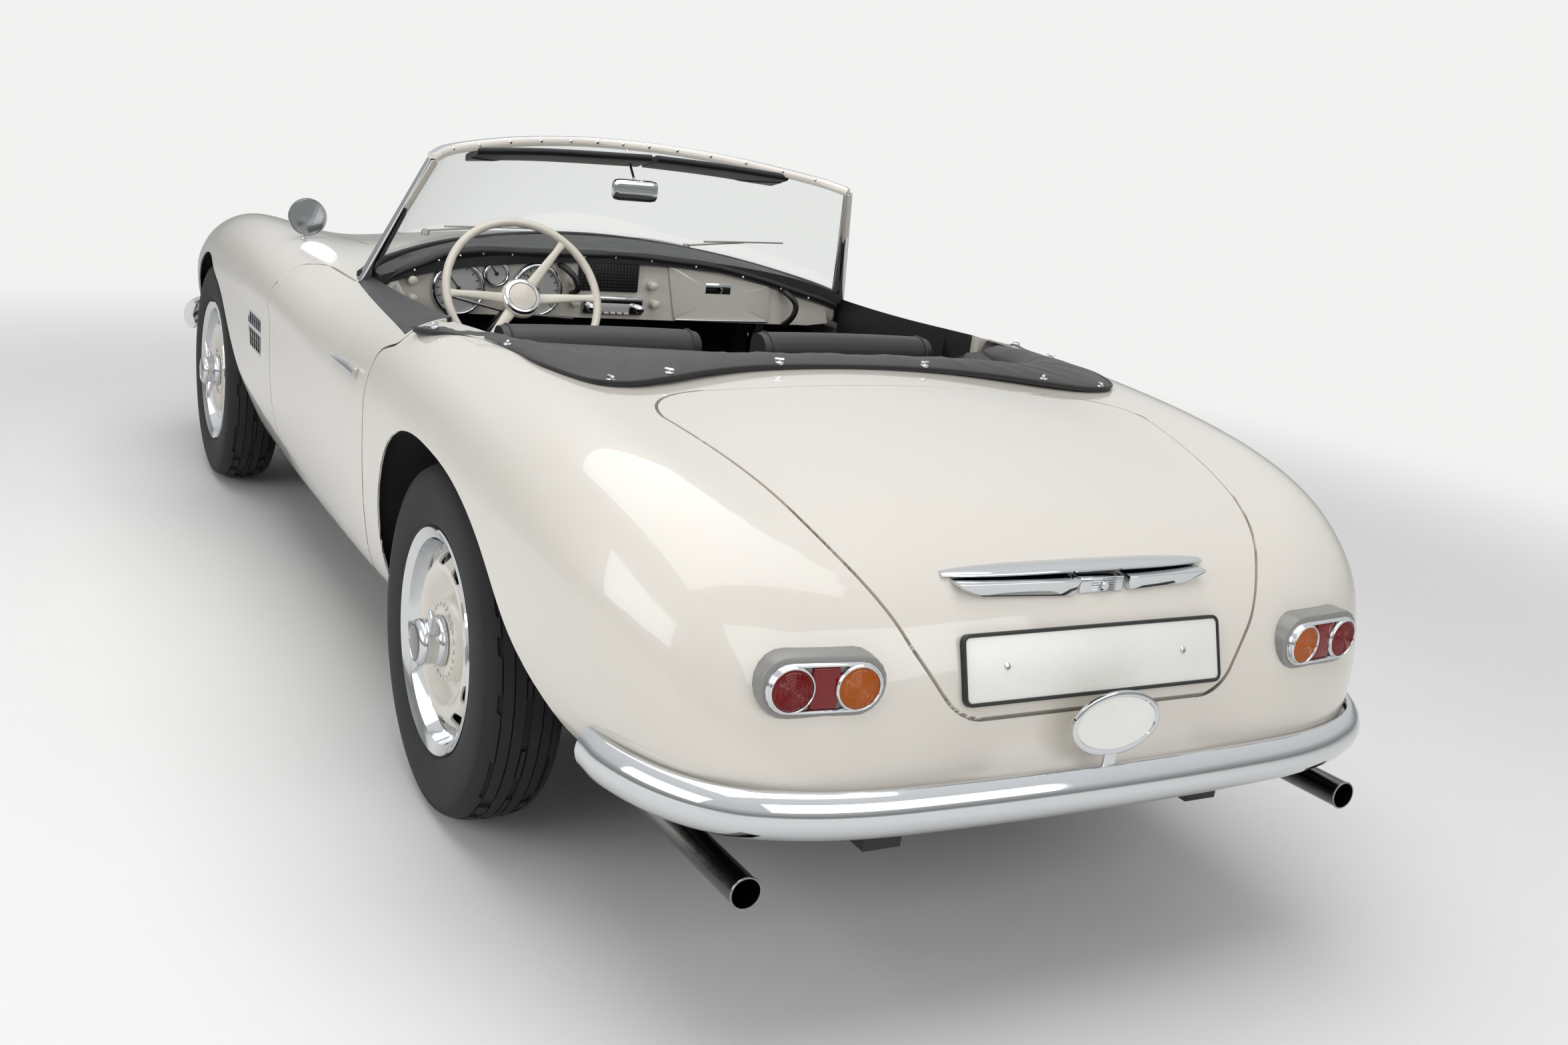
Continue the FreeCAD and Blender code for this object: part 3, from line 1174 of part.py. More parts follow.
coverCorners = [(316.0, 0, 0), (316.0, 620.0, 30.0), (374.0, 676.0, 20.0), (374.0, 748.0, 16.0),
                (193.0, 716.0, 300.0), (-17.0, 684.0, 200.0), (-176.0, 600.0, 60.0), (-128.0, 300.0, 900.0),
                (-122.0, 0, 0)]
coverThick = 16.0


def hoodCover():
    top = outer.translated(Vector(0, 0, coverThick))
    under = outer.translated(Vector(0, 0, seat))
    corners = [(place(x), y, r) for x, y, r in halfOutline(coverCorners)]
    return keepSolids(top.cut(under).common(planPrism(corners, doorBottomZ, high + overrun)))


def bootHandle():
    # the chrome bar over the number plate, with the lock in its middle
    half = 270.0
    rows = []
    for share, size in ((-1, .5), (-.9, .9), (-.45, 1.0), (0, 1.15), (.45, 1.0), (.9, .9), (1, .5)):
        bow = 10.0 * (1 - share * share)
        centre = Vector(place(-884.0) - bow, half * share, 742.0)
        rows.append([centre + Vector(-a * size, 0, b * size) for a, b in
                     ((-20.0, 22.0), (10.0, 24.0), (34.0, 12.0), (38.0, -6.0), (28.0, -18.0), (-30.0, -30.0))])
    bar = ringSolid(rows).cut(outer.fuse(box(place(-870.0), noseX, -bodyWidth, bodyWidth, 0, high)))
    return keepSolids(bar)


plateWidth = 520.0
plateHeight = 110.0
plateThick = 3.0
plateLow = Vector(place(-988.0), 0, 575.0)
plateLean = math.radians(18.5)


def numberPlate():
    plate = box(-plateThick, 0, -plateWidth / 2, plateWidth / 2, 0, plateHeight)
    plate = plate.makeFillet(14.0, [e for e in plate.Edges if e.BoundBox.XLength > plateThick / 2
                                    and e.BoundBox.YLength < seat])
    plate.rotate(Vector(0, 0, 0), Vector(0, 1, 0), math.degrees(plateLean))
    plate.translate(plateLow)
    studs = [cylinder(5.0, plateLow + Vector(dx, y, z), plateLow + Vector(overrun, y, z))
             for y in (-180.0, 180.0) for dx, z in ((22.0, 60.0), )]
    return plate.fuse(Part.makeCompound(studs).cut(outer).Solids)


badgeCentre = Vector(place(-1046.0), 0, 548.0)


def ovalBadge():
    ellipse = Part.Ellipse(Vector(0, 0, 0), 88.0, 54.0).toShape()
    face = Part.Face(Part.Wire(ellipse))
    badge = face.extrude(Vector(0, 0, 4.0))
    badge.rotate(Vector(0, 0, 0), Vector(0, 0, 1), 90.0)
    badge.rotate(Vector(0, 0, 0), Vector(0, 1, 0), -90.0)
    badge.translate(badgeCentre)
    foot = box(badgeCentre.x - 4.0, badgeCentre.x + 4.0, -12.0, 12.0, 480.0, 510.0)
    bar = bumperBar(rearBumperPath, 1, bumperHeight)
    return keepSolids(badge.fuse(foot).cut(bar))


# wheels: built about the origin with the axle along +Y outwards
def tyre():
    w = tyreWidth / 2
    r = tyreRadius
    bead = rimRadius - 8.0
    profile = [(bead, -w * 0.70), (bead + 14.0, -w * 0.80), (bead + 50.0, -w), (r * 0.83, -w * 0.985), (r * 0.93, -w * 0.86),
               (r * 0.975, -w * 0.70), (r * 0.992, -w * 0.5), (r, 0), (r * 0.992, w * 0.5), (r * 0.975, w * 0.70),
               (r * 0.93, w * 0.86), (r * 0.83, w * 0.985), (bead + 50.0, w), (bead + 14.0, w * 0.80), (bead, w * 0.70)]
    return revolve(profile, Vector(0, 0, 0), Vector(0, 1, 0))


def wheel():
    w = tyreWidth / 2
    bead = rimRadius - 8.0 - seat
    flange = rimRadius + 8.0
    wall = 3.0
    faceOut = w * 0.42
    rim = [(bead, -w * 0.60), (bead, -w * 0.72), (flange, -w * 0.90), (flange, -w * 0.94), (bead - wall, -w * 0.78),
           (bead - 20.0, -w * 0.5), (bead - 22.0, w * 0.4), (bead - wall, w * 0.78), (flange, w * 0.94),
           (flange, w * 0.90), (bead, w * 0.72), (bead, w * 0.60), (bead - 18.0, w * 0.38), (bead - 16.0, -w * 0.46)]
    barrel = revolve(rim, Vector(0, 0, 0), Vector(0, 1, 0))
    disc = [(spindleRadius + seat, 0), (60.0, 0), (78.0, faceOut - 6.0), (120.0, faceOut + 8.0), (150.0, faceOut),
            (bead - 21.0, w * 0.05), (bead - 21.0, w * 0.05 + wall * 1.5), (156.0, faceOut + wall * 1.5),
            (120.0, faceOut + 8.0 + wall * 1.5), (74.0, faceOut + 2.0), (56.0, wall * 2), (40.0, w * 0.5),
            (spindleRadius + seat, w * 0.5)]
    centre = revolve(disc, Vector(0, 0, 0), Vector(0, 1, 0))
    slots = []
    slotCount = 12
    for i in range(slotCount):
        slot = Part.makeCylinder(11.0, tyreWidth, Vector(162.0, -w, 0), Vector(0, 1, 0))
        slot.rotate(Vector(0, 0, 0), Vector(0, 1, 0), 360.0 * i / slotCount)
        slots.append(slot)
    centre = centre.cut(slots)
    drum = revolve([(spindleRadius + seat, -wall * 2), (drumRadius - wall * 2, -wall * 2),
                    (drumRadius - wall * 2, -drumDepth), (drumRadius, -drumDepth), (drumRadius, 0),
                    (spindleRadius + seat, 0)], Vector(0, 0, 0), Vector(0, 1, 0))
    body = fuse([barrel, centre, drum])
    spinnerBase = w * 0.5 + seat / 3
    cap = revolve([(0, spinnerBase), (38.0, spinnerBase), (36.0, spinnerBase + 20.0), (24.0, spinnerBase + 34.0),
                   (0, spinnerBase + 38.0)], Vector(0, 0, 0), Vector(0, 1, 0))
    ears = []
    for turn in (1, -1):
        ear = box(0, 84.0 * turn, spinnerBase + 10.0, spinnerBase + 26.0, -12.0, 12.0) if turn > 0 else box(
            -84.0, 0, spinnerBase + 10.0, spinnerBase + 26.0, -12.0, 12.0)
        ears.append(ear)
    spinner = fuse([cap] + ears)
    return Part.makeCompound([body, spinner])


def placeWheels():
    for axle, x, track in (("front", frontAxleX, frontTrack), ("rear", rearAxleX, rearTrack)):
        for name, shape in (("tyre", tyre()), ("wheel", wheel())):
            left = shape.translated(Vector(x, track / 2, tyreRadius))
            save(name + "_" + axle + "_left", left)
            save(name + "_" + axle + "_right", mirrorY(left))


def main():
    os.makedirs("parts", exist_ok=True)
    bodyPanels()
    bonnet()
    bootLid()
    doors()
    doorHandles()
    innerPanels()
    save("chassis_frame", frame())
    save("engine", engine())
    save("front_suspension", frontSuspension())
    left = knuckle()
    save("knuckle_left", left)
    save("knuckle_right", mirrorY(left))
    save("rear_axle", rearAxle())
    save("exhaust", exhaust())
    save("fuel_tank", fuelTank())
    save("rear_bumper", bumper(rearBumperPath, 1, bumperHeight, -1036.0, railTailPlace))
    save("front_bumper", bumper(frontBumperPath, -1, bumperHeight, 3240.0, railFrontPlace))
    save("nose_grilles", grilles())
    save("headlamps", headlamps())
    save("front_indicators", indicators())
    save("tail_lamps", tailLamps())
    save("side_vents", sideVents())
    windscreen()
    save("wipers", wipers())
    save("exterior_mirror", exteriorMirror())
    save("dashboard", dashboard())
    save("dash_pad", dashPad())
    save("instruments", instruments())
    save("dash_fittings", dashFittings())
    save("grab_handles", grabHandles())
    save("steering_wheel", steeringWheel())
    save("steering_column", steeringColumn())
    leftSeat = seatUnit()
    save("seat_left", leftSeat)
    save("seat_right", mirrorY(leftSeat))
    save("controls", controls())
    save("hood_cover", hoodCover())
    save("boot_handle", bootHandle())
    save("number_plate", numberPlate())
    save("oval_badge", ovalBadge())
    placeWheels()


main()
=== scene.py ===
import math
import json
import numpy
import bpy
from mathutils import Vector, Matrix
from mathutils.bvhtree import BVHTree

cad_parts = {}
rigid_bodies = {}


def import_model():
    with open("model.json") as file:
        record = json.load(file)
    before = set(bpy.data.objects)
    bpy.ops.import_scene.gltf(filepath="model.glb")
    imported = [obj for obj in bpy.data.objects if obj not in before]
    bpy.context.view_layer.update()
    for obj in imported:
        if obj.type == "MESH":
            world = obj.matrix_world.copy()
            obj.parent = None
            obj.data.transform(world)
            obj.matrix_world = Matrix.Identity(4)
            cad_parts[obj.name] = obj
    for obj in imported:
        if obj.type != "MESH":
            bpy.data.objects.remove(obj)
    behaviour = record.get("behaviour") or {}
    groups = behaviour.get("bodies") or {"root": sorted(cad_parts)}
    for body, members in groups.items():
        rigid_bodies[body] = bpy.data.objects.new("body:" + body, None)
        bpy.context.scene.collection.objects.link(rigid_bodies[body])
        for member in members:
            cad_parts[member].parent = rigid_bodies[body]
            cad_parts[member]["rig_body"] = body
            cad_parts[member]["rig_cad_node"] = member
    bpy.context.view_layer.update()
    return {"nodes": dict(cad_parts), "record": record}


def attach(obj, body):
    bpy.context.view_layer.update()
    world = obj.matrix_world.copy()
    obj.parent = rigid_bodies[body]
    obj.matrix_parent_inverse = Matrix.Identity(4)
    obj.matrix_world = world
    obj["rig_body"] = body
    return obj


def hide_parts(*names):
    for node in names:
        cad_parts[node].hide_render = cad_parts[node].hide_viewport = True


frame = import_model()
nodes = frame["nodes"]
mm = 0.001
print("frame loaded:", len(nodes), "nodes")


# places are in millimetres; most are written from the rear axle, which stands this far along the car
rearAxle = -1105.0


def spot(x, y, z):
    return Vector((x + rearAxle, y, z))


# colours are written as on a paint card, and turned to linear light here
def colour(hexText, alpha=1.0):
    parts = [int(hexText[i:i + 2], 16) / 255 for i in (1, 3, 5)]
    linear = [p / 12.92 if p <= 0.04045 else ((p + 0.055) / 1.055) ** 2.4 for p in parts]
    return linear + [alpha]


def addNode(tree, kind, settings=None, links=None):
    node = tree.nodes.new(kind)
    for key, value in (settings or {}).items():
        if key in node.inputs:
            node.inputs[key].default_value = value
        else:
            setattr(node, key, value)
    for key, source in (links or {}).items():
        tree.links.new(source, node.inputs[key])
    return node


def newMaterial(name):
    material = bpy.data.materials.new(name)
    material.use_nodes = True
    tree = material.node_tree
    tree.nodes.clear()
    where = addNode(tree, "ShaderNodeTexCoord")
    return material, tree, where.outputs["Object"]


def closeMaterial(tree, settings, links):
    shader = addNode(tree, "ShaderNodeBsdfPrincipled", settings, links)
    addNode(tree, "ShaderNodeOutputMaterial", None, {"Surface": shader.outputs["BSDF"]})


# what most finishes share: noise and waves of a size, two tones mixed, a roughness band and a relief
def noise(tree, where, sizeMm, detail):
    settings = {"Scale": 1 / (sizeMm * mm), "Detail": detail}
    return addNode(tree, "ShaderNodeTexNoise", settings, {"Vector": where}).outputs["Fac"]


def waves(tree, where, stepMm, direction):
    settings = {"Scale": 1 / (stepMm * mm) / 6.28, "bands_direction": direction}
    return addNode(tree, "ShaderNodeTexWave", settings, {"Vector": where}).outputs["Fac"]


def mixTones(tree, share, first, second):
    mix = addNode(tree, "ShaderNodeMix", {"data_type": "RGBA"}, {0: share})
    mix.inputs[6].default_value = colour(first)
    mix.inputs[7].default_value = colour(second)
    return mix.outputs[2]


def band(tree, share, low, high):
    return addNode(tree, "ShaderNodeMapRange", {"To Min": low, "To Max": high},
                   {"Value": share}).outputs["Result"]


def relief(tree, height, strength, depth):
    settings = {"Strength": strength, "Distance": depth}
    return addNode(tree, "ShaderNodeBump", settings, {"Height": height}).outputs["Normal"]


# sprayed enamel: deep gloss over slowly drifting tones, with the faint orange peel of a hand-sprayed coat
enamelSettings = {"peelMm": 9.0, "peelStrength": 0.012, "driftMm": 420.0}


def makeEnamel(name, light, dark):
    s = enamelSettings
    material, tree, where = newMaterial(name)
    tone = mixTones(tree, noise(tree, where, s["driftMm"], 2.0), light, dark)
    peel = relief(tree, noise(tree, where, s["peelMm"], 1.0), s["peelStrength"], 0.001)
    closeMaterial(tree, {"Roughness": 0.32, "IOR": 1.5, "Coat Weight": 1.0, "Coat Roughness": 0.035},
                  {"Base Color": tone, "Normal": peel})
    return material


# grained hide: soft sheen, pebbled grain, creases a little shinier
hideSettings = {"black": "#101011", "worn": "#1B1B1D", "grainMm": 1.8, "patchMm": 60}


def makeHide(name):
    s = hideSettings
    material, tree, where = newMaterial(name)
    grain = addNode(tree, "ShaderNodeTexVoronoi", {"Scale": 1 / (s["grainMm"] * mm), "feature": "F1"},
                    {"Vector": where})
    patch = noise(tree, where, s["patchMm"], 5.0)
    closeMaterial(tree, {"IOR": 1.5, "Sheen Weight": 0.08},
                  {"Base Color": mixTones(tree, patch, s["black"], s["worn"]),
                   "Roughness": band(tree, patch, 0.36, 0.52),
                   "Normal": relief(tree, grain.outputs["Distance"], 0.35, 0.0006)})
    return material


# cloth and carpet: two crossed sets of threads, and larger dusty patches
def makeCloth(name, black, dusty, threadMm, patchMm=90):
    material, tree, where = newMaterial(name)
    weave = addNode(tree, "ShaderNodeMath", {"operation": "MULTIPLY"},
                    {0: waves(tree, where, threadMm, "X"), 1: waves(tree, where, threadMm, "Y")})
    tone = mixTones(tree, noise(tree, where, patchMm, 6.0), black, dusty)
    closeMaterial(tree, {"Roughness": 0.82, "Sheen Weight": 0.15, "Sheen Roughness": 0.5},
                  {"Base Color": tone, "Normal": relief(tree, weave.outputs[0], 0.4, 0.0008)})
    return material


# metal finishes: a base tone, a roughness band and the scale of the marks left by the tools
def makeMetal(name, tone, roughLow, roughHigh, markMm, bumpStrength=0.0):
    material, tree, where = newMaterial(name)
    marks = noise(tree, where, markMm, 4.0)
    closeMaterial(tree, {"Base Color": colour(tone), "Metallic": 1.0},
                  {"Roughness": band(tree, marks, roughLow, roughHigh),
                   "Normal": relief(tree, marks, bumpStrength, 0.0005)})
    return material


# rubbers, paints and mouldings that are matt or satin; the patches are this many times the grain
mattSettings = {"patch": 40}


def makeMatt(name, light, dark, roughLow, roughHigh, grainMm, bumpStrength):
    material, tree, where = newMaterial(name)
    grain = noise(tree, where, grainMm, 5.0)
    patch = noise(tree, where, grainMm * mattSettings["patch"], 3.0)
    closeMaterial(tree, {"IOR": 1.5},
                  {"Base Color": mixTones(tree, patch, light, dark),
                   "Roughness": band(tree, patch, roughLow, roughHigh),
                   "Normal": relief(tree, grain, bumpStrength, 0.0008)})
    return material


# clear and coloured glass: polished outside, with moulded flutes where the lens has them
def makeGlass(name, tone, clearness, fluteMm, fluteDepth, roughness=0.02):
    material, tree, where = newMaterial(name)
    closeMaterial(tree, {"Base Color": colour(tone), "Roughness": roughness, "IOR": 1.5,
                         "Transmission Weight": clearness},
                  {"Normal": relief(tree, waves(tree, where, fluteMm, "Y"), fluteDepth, 0.001)})
    return material


ivoryEnamel = makeEnamel("ivoryEnamel", "#E0DBD2", "#DAD4CA")
blackHide = makeHide("blackGrainedHide")
hoodCloth = makeCloth("wovenHoodCloth", "#141415", "#222224", 2.4)
carpet = makeCloth("loopCarpet", "#101011", "#1C1C1E", 5.0)
chromePlate = makeMetal("chromePlate", "#D5D7D9", 0.03, 0.09, 35.0)
dullSteel = makeMetal("dullSteel", "#8C8C8A", 0.32, 0.5, 6.0, 0.15)
polishedSteel = makeMetal("polishedSteel", "#8F8D8A", 0.12, 0.26, 14.0, 0.05)
sootySteel = makeMetal("sootySteel", "#5B5652", 0.4, 0.6, 8.0, 0.3)
chassisPaint = makeMatt("chassisPaint", "#141414", "#1F1E1D", 0.4, 0.62, 3.0, 0.2)
castBlock = makeMatt("castBlock", "#3D3E3F", "#2C2C2C", 0.55, 0.75, 2.0, 0.5)
tyreRubber = makeMatt("mouldedRubber", "#1A1A1B", "#232323", 0.68, 0.85, 1.5, 0.25)
blackMoulding = makeMatt("blackMoulding", "#121213", "#18181A", 0.35, 0.5, 1.2, 0.15)
blackEnamel = makeEnamel("blackEnamel", "#0E0E0F", "#121213")
ivoryPlastic = makeMatt("ivoryPlastic", "#DED8CB", "#D5CEC0", 0.16, 0.26, 1.0, 0.02)
hoodHide = makeHide("hoodHide")
lampPad = makeMatt("lampPad", "#8E8D8A", "#858481", 0.22, 0.32, 2.0, 0.05)
silverDial = makeMatt("silverDial", "#B9BAB8", "#AFB0AE", 0.3, 0.4, 2.0, 0.05)
plateWhite = makeMatt("plateEnamel", "#EFEFEA", "#E6E6E0", 0.22, 0.32, 2.0, 0.03)
screenGlass = makeGlass("screenGlass", "#FBFDFC", 1.0, 500.0, 0.0, 0.0)
lampGlass = makeGlass("flutedLampGlass", "#F2F5F6", 0.9, 9.0, 0.5)
redLens = makeGlass("redLens", "#8E0A0C", 0.35, 4.0, 0.4)
amberLens = makeGlass("amberLens", "#D06A10", 0.35, 4.0, 0.4)

print("materials made:", len(bpy.data.materials))


# small helpers for working on one mesh at a time
def nothingPicked():
    if bpy.context.object and bpy.context.object.mode != "OBJECT":
        bpy.ops.object.mode_set(mode="OBJECT")
    bpy.ops.object.select_all(action="DESELECT")


def only(piece):
    nothingPicked()
    piece.select_set(True)
    bpy.context.view_layer.objects.active = piece


def mergeDoubles(gap):
    bpy.ops.object.mode_set(mode="EDIT")
    bpy.ops.mesh.select_all(action="SELECT")
    bpy.ops.mesh.remove_doubles(threshold=gap * mm)


def shaded(angle):
    bpy.ops.object.mode_set(mode="OBJECT")
    bpy.ops.object.shade_smooth_by_angle(angle=math.radians(angle))
    return bpy.context.object


# a finished piece: its name, its finish, the body it rides on and the solids it stands for
def dress(piece, name, material, body="body", stands=()):
    piece.name = name
    piece.data.name = name
    piece.data.materials.clear()
    piece.data.materials.append(material)
    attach(piece, body)
    for node in stands:
        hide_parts(node)


# a pressed, cast or moulded piece: the frame's solid with its doubles merged and its faces smoothed
def smoothPiece(node, angle=28.0):
    only(nodes[node])
    bpy.ops.object.duplicate()
    piece = bpy.context.object
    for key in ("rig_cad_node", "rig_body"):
        if key in piece:
            del piece[key]
    piece.parent = None
    only(piece)
    mergeDoubles(0.02)
    shaded(angle)
    dress(piece, node + "_finished", finishes[node], bodyOf[node], (node,))


bodyOf = {node: body for body, members in frame["record"]["behaviour"]["bodies"].items() for node in members}
finishes = {node: finish for finish, names in (
    (ivoryEnamel, "sill_panels front_body rear_body bonnet boot_lid door_left door_right dashboard"),
    (blackHide, "door_trim_left door_trim_right sun_visors dash_pad seat_left seat_right"),
    (chromePlate, "door_handle_left door_handle_right rear_bumper front_bumper nose_grilles side_vents"
                  " windscreen_frame interior_mirror exterior_mirror dash_fittings controls boot_handle"
                  " oval_badge wheel_front_left wheel_front_right wheel_rear_left wheel_rear_right"),
    (tyreRubber, "tyre_front_left tyre_front_right tyre_rear_left tyre_rear_right"),
    (carpet, "inner_panels boot_panels"), (hoodCloth, "hood_cover"), (castBlock, "engine"),
    (chassisPaint, "engine_bay_panels chassis_frame front_suspension rear_axle fuel_tank"),
    (dullSteel, "knuckle_left knuckle_right wipers steering_column"), (sootySteel, "exhaust"),
    (lampGlass, "headlamps"), (amberLens, "front_indicators"), (redLens, "tail_lamps"),
    (screenGlass, "windscreen_glass"), (silverDial, "instruments"), (blackMoulding, "grab_handles"),
    (ivoryPlastic, "steering_wheel"), (plateWhite, "number_plate")) for node in names.split()}
for node, finish in finishes.items():
    nodes[node].data.materials.clear()
    nodes[node].data.materials.append(finish)

# these get forms of their own further down, so they aren't smoothed here
modelled = set("exhaust rear_bumper tail_lamps instruments dash_fittings grab_handles steering_wheel"
               " seat_left seat_right hood_cover boot_handle number_plate oval_badge windscreen_frame"
               " windscreen_glass wipers sun_visors interior_mirror exterior_mirror".split())
for node in sorted(finishes):
    if node not in modelled and not node.startswith(("wheel_", "tyre_")):
        smoothPiece(node)

# the bulkhead behind the seats ends below the folded hood, so that the well behind the seats stays open
bulkheadSettings = {"rear": -850.0, "front": -835.0, "top": 800.0, "halfWidth": 640.0}
s = bulkheadSettings
for vertex in bpy.data.objects["inner_panels_finished"].data.vertices:
    if (s["rear"] < vertex.co.x / mm < s["front"] and abs(vertex.co.y) / mm < s["halfWidth"]
            and vertex.co.z / mm > s["top"]):
        vertex.co.z = s["top"] * mm
print("frame pieces smoothed:", len(finishes))


# turned pieces: a closed profile of (radius, along) points in millimetres, spun about its axis
def lathe(profile, centre, axis, steps, smooth=32.0):
    axis = Vector(axis).normalized()
    out = Vector((0, 0, 1)) if abs(axis.z) < 0.5 else Vector((1, 0, 0))
    out = (out - axis * out.dot(axis)).normalized()
    nothingPicked()
    bpy.ops.mesh.primitive_circle_add(vertices=len(profile), fill_type="NOTHING")
    piece = bpy.context.object
    centre = Vector(centre)
    for vertex, (radius, along) in zip(piece.data.vertices, profile):
        vertex.co = (centre + out * radius + axis * along) * mm
    bpy.ops.object.mode_set(mode="EDIT")
    bpy.ops.mesh.select_all(action="SELECT")
    bpy.ops.mesh.spin(steps=steps, angle=2 * math.pi, center=centre * mm, axis=axis)
    mergeDoubles(0.05)
    bpy.ops.mesh.normals_make_consistent(inside=False)
    return shaded(smooth)


def applyModifier(piece, kind, settings):
    only(piece)
    modifier = piece.modifiers.new(kind.lower(), kind)
    for key, value in settings.items():
        setattr(modifier, key, value)
    bpy.ops.object.modifier_apply(modifier=modifier.name)


def joined(pieces):
    only(pieces[0])
    for piece in pieces:
        piece.select_set(True)
    if len(pieces) > 1:
        bpy.ops.object.join()
    return bpy.context.object


def copied(piece):
    only(piece)
    bpy.ops.object.duplicate()
    return bpy.context.object


# places a finished mesh: turned, then moved, with the place kept in the mesh
def moved(piece, offset, turn=None, mirror=False):
    matrix = Matrix.Translation(Vector(offset) * mm)
    if turn is not None:
        matrix = matrix @ turn
    if mirror:
        matrix = Matrix.Diagonal((1, -1, 1, 1)) @ matrix
    piece.data.transform(matrix)
    if mirror:
        only(piece)
        bpy.ops.object.mode_set(mode="EDIT")
        bpy.ops.mesh.select_all(action="SELECT")
        bpy.ops.mesh.flip_normals()
        bpy.ops.object.mode_set(mode="OBJECT")
    return piece


def pickFaces(piece, test):
    only(piece)
    bpy.ops.object.mode_set(mode="EDIT")
    bpy.ops.mesh.select_mode(type="FACE")
    bpy.ops.mesh.select_all(action="DESELECT")
    bpy.ops.object.mode_set(mode="OBJECT")
    for face in piece.data.polygons:
        face.select = test(face)
    bpy.ops.object.mode_set(mode="EDIT")


wheelCentres = {"front_left": (1375.0, 722.5, 348.0), "front_right": (1375.0, -722.5, 348.0),
                "rear_left": (-1105.0, 712.5, 348.0), "rear_right": (-1105.0, -712.5, 348.0)}

# cross-ply tyre: zigzag blocks round the tread, fine ribs on the shoulder, soft bulge to the bead
tyreSettings = {"radius": 347.6, "halfWidth": 82.0, "bead": 207.0, "blocks": 62, "grooveShare": 0.17,
                "grooveDepth": 6.0, "zigzag": 9.0}


def makeTyre():
    s = tyreSettings
    r = s["radius"]
    w = s["halfWidth"]
    tread = [-0.70, -0.62, -0.585, -0.36, -0.325, -0.09, -0.05, 0.05, 0.09, 0.325, 0.36, 0.585, 0.62, 0.70]
    crown = [(r - 7.5 * abs(share) ** 3 * 3.2, share * w) for share in tread]
    side = [(r * 0.962, 0.82), (r * 0.948, 0.885), (r * 0.944, 0.875), (r * 0.936, 0.91), (r * 0.931, 0.90),
            (r * 0.922, 0.935), (r * 0.917, 0.925), (r * 0.90, 0.965), (r * 0.84, 0.995), (r * 0.77, 0.985),
            (r * 0.70, 0.945), (r * 0.655, 0.885), (s["bead"] + 14, 0.83), (s["bead"] + 9, 0.80),
            (s["bead"] - 2, 0.76), (s["bead"] - 2, 0.60)]
    left = [(radius, -share * w) for radius, share in reversed(side)]
    right = [(radius, share * w) for radius, share in side]
    profile = left + crown + right
    count = s["blocks"]
    tyre = lathe(profile, (0, 0, 0), (0, 1, 0), count * 2, 30.0)
    step = math.pi / count
    for vertex in tyre.data.vertices:
        x, y, z = vertex.co / mm
        radius = math.hypot(x, z)
        turn = math.atan2(x, z)
        index = round(turn / step)
        base = math.floor(index / 2) * 2 * step
        turn = base if index % 2 == 0 else base + 2 * step * (1 - s["grooveShare"])
        if radius > r * 0.94:
            share = y / w
            fold = abs((share * 4.2 + 1) % 2 - 1)
            turn += fold * s["zigzag"] / r * 2
        vertex.co = Vector((math.sin(turn) * radius, y, math.cos(turn) * radius)) * mm

    def isGroove(face):
        x, y, z = face.center / mm
        spots = [math.atan2(tyre.data.vertices[i].co.x, tyre.data.vertices[i].co.z) for i in face.vertices]
        wide = max(spots) - min(spots)
        if wide > math.pi:
            spots = [a if a > 0 else a + 2 * math.pi for a in spots]
            wide = max(spots) - min(spots)
        share = abs(y) / w
        across = 0.05 < share < 0.09 or 0.325 < share < 0.36 or 0.585 < share < 0.62
        cross = grooveFaces.get(face.index, False) and share < 0.72
        return math.hypot(x, z) > r * 0.96 and share < 0.72 and (across or cross)

    grooveFaces = {}
    for face in tyre.data.polygons:
        x, y, z = face.center / mm
        radial = math.hypot(x, z)
        if radial < r * 0.94:
            continue
        angles = []
        for i in face.vertices:
            v = tyre.data.vertices[i].co / mm
            share = v.y / w
            fold = abs((share * 4.2 + 1) % 2 - 1)
            angle = math.atan2(v.x, v.z) - fold * s["zigzag"] / r * 2
            angles.append(round((angle % (2 * math.pi)) / (2 * step) % 1.0, 2))
        low = [a for a in angles if a > 0.7]
        grooveFaces[face.index] = len(low) == 2 and all(a > 0.7 or a < 0.05 or a > 0.95 for a in angles)
    pickFaces(tyre, isGroove)
    bpy.ops.mesh.extrude_region_shrink_fatten(TRANSFORM_OT_shrink_fatten={"value": -s["grooveDepth"] * mm})
    return shaded(30)


# bright rim, enamelled disc with slots, rivets and hub, and the two-eared spinner
wheelSettings = {"slots": 12, "slotPlace": 163.0, "slotRadius": 14.5, "rivets": 24, "rivetRadius": 4.6,
                 "earReach": 92.0, "hubFace": 66.0, "rearTurn": -35.0, "frontTurn": 20.0}


def makeRim():
    rim = [(203.0, -58.0), (204.0, -60.0), (219.0, -68.0), (221.5, -72.0), (219.0, -75.5), (206.0, -71.0),
           (198.0, -62.0), (184.0, -42.0), (182.0, 26.0), (192.0, 44.0), (197.0, 58.0), (199.5, 66.0),
           (208.0, 70.0), (215.5, 73.5), (220.0, 76.0), (222.5, 72.0), (220.0, 67.5), (207.0, 63.0),
           (203.5, 58.0), (203.0, 48.0), (190.0, 38.0), (188.0, -38.0), (203.0, -48.0)]
    return lathe(rim, (0, 0, 0), (0, 1, 0), 96, 40.0)


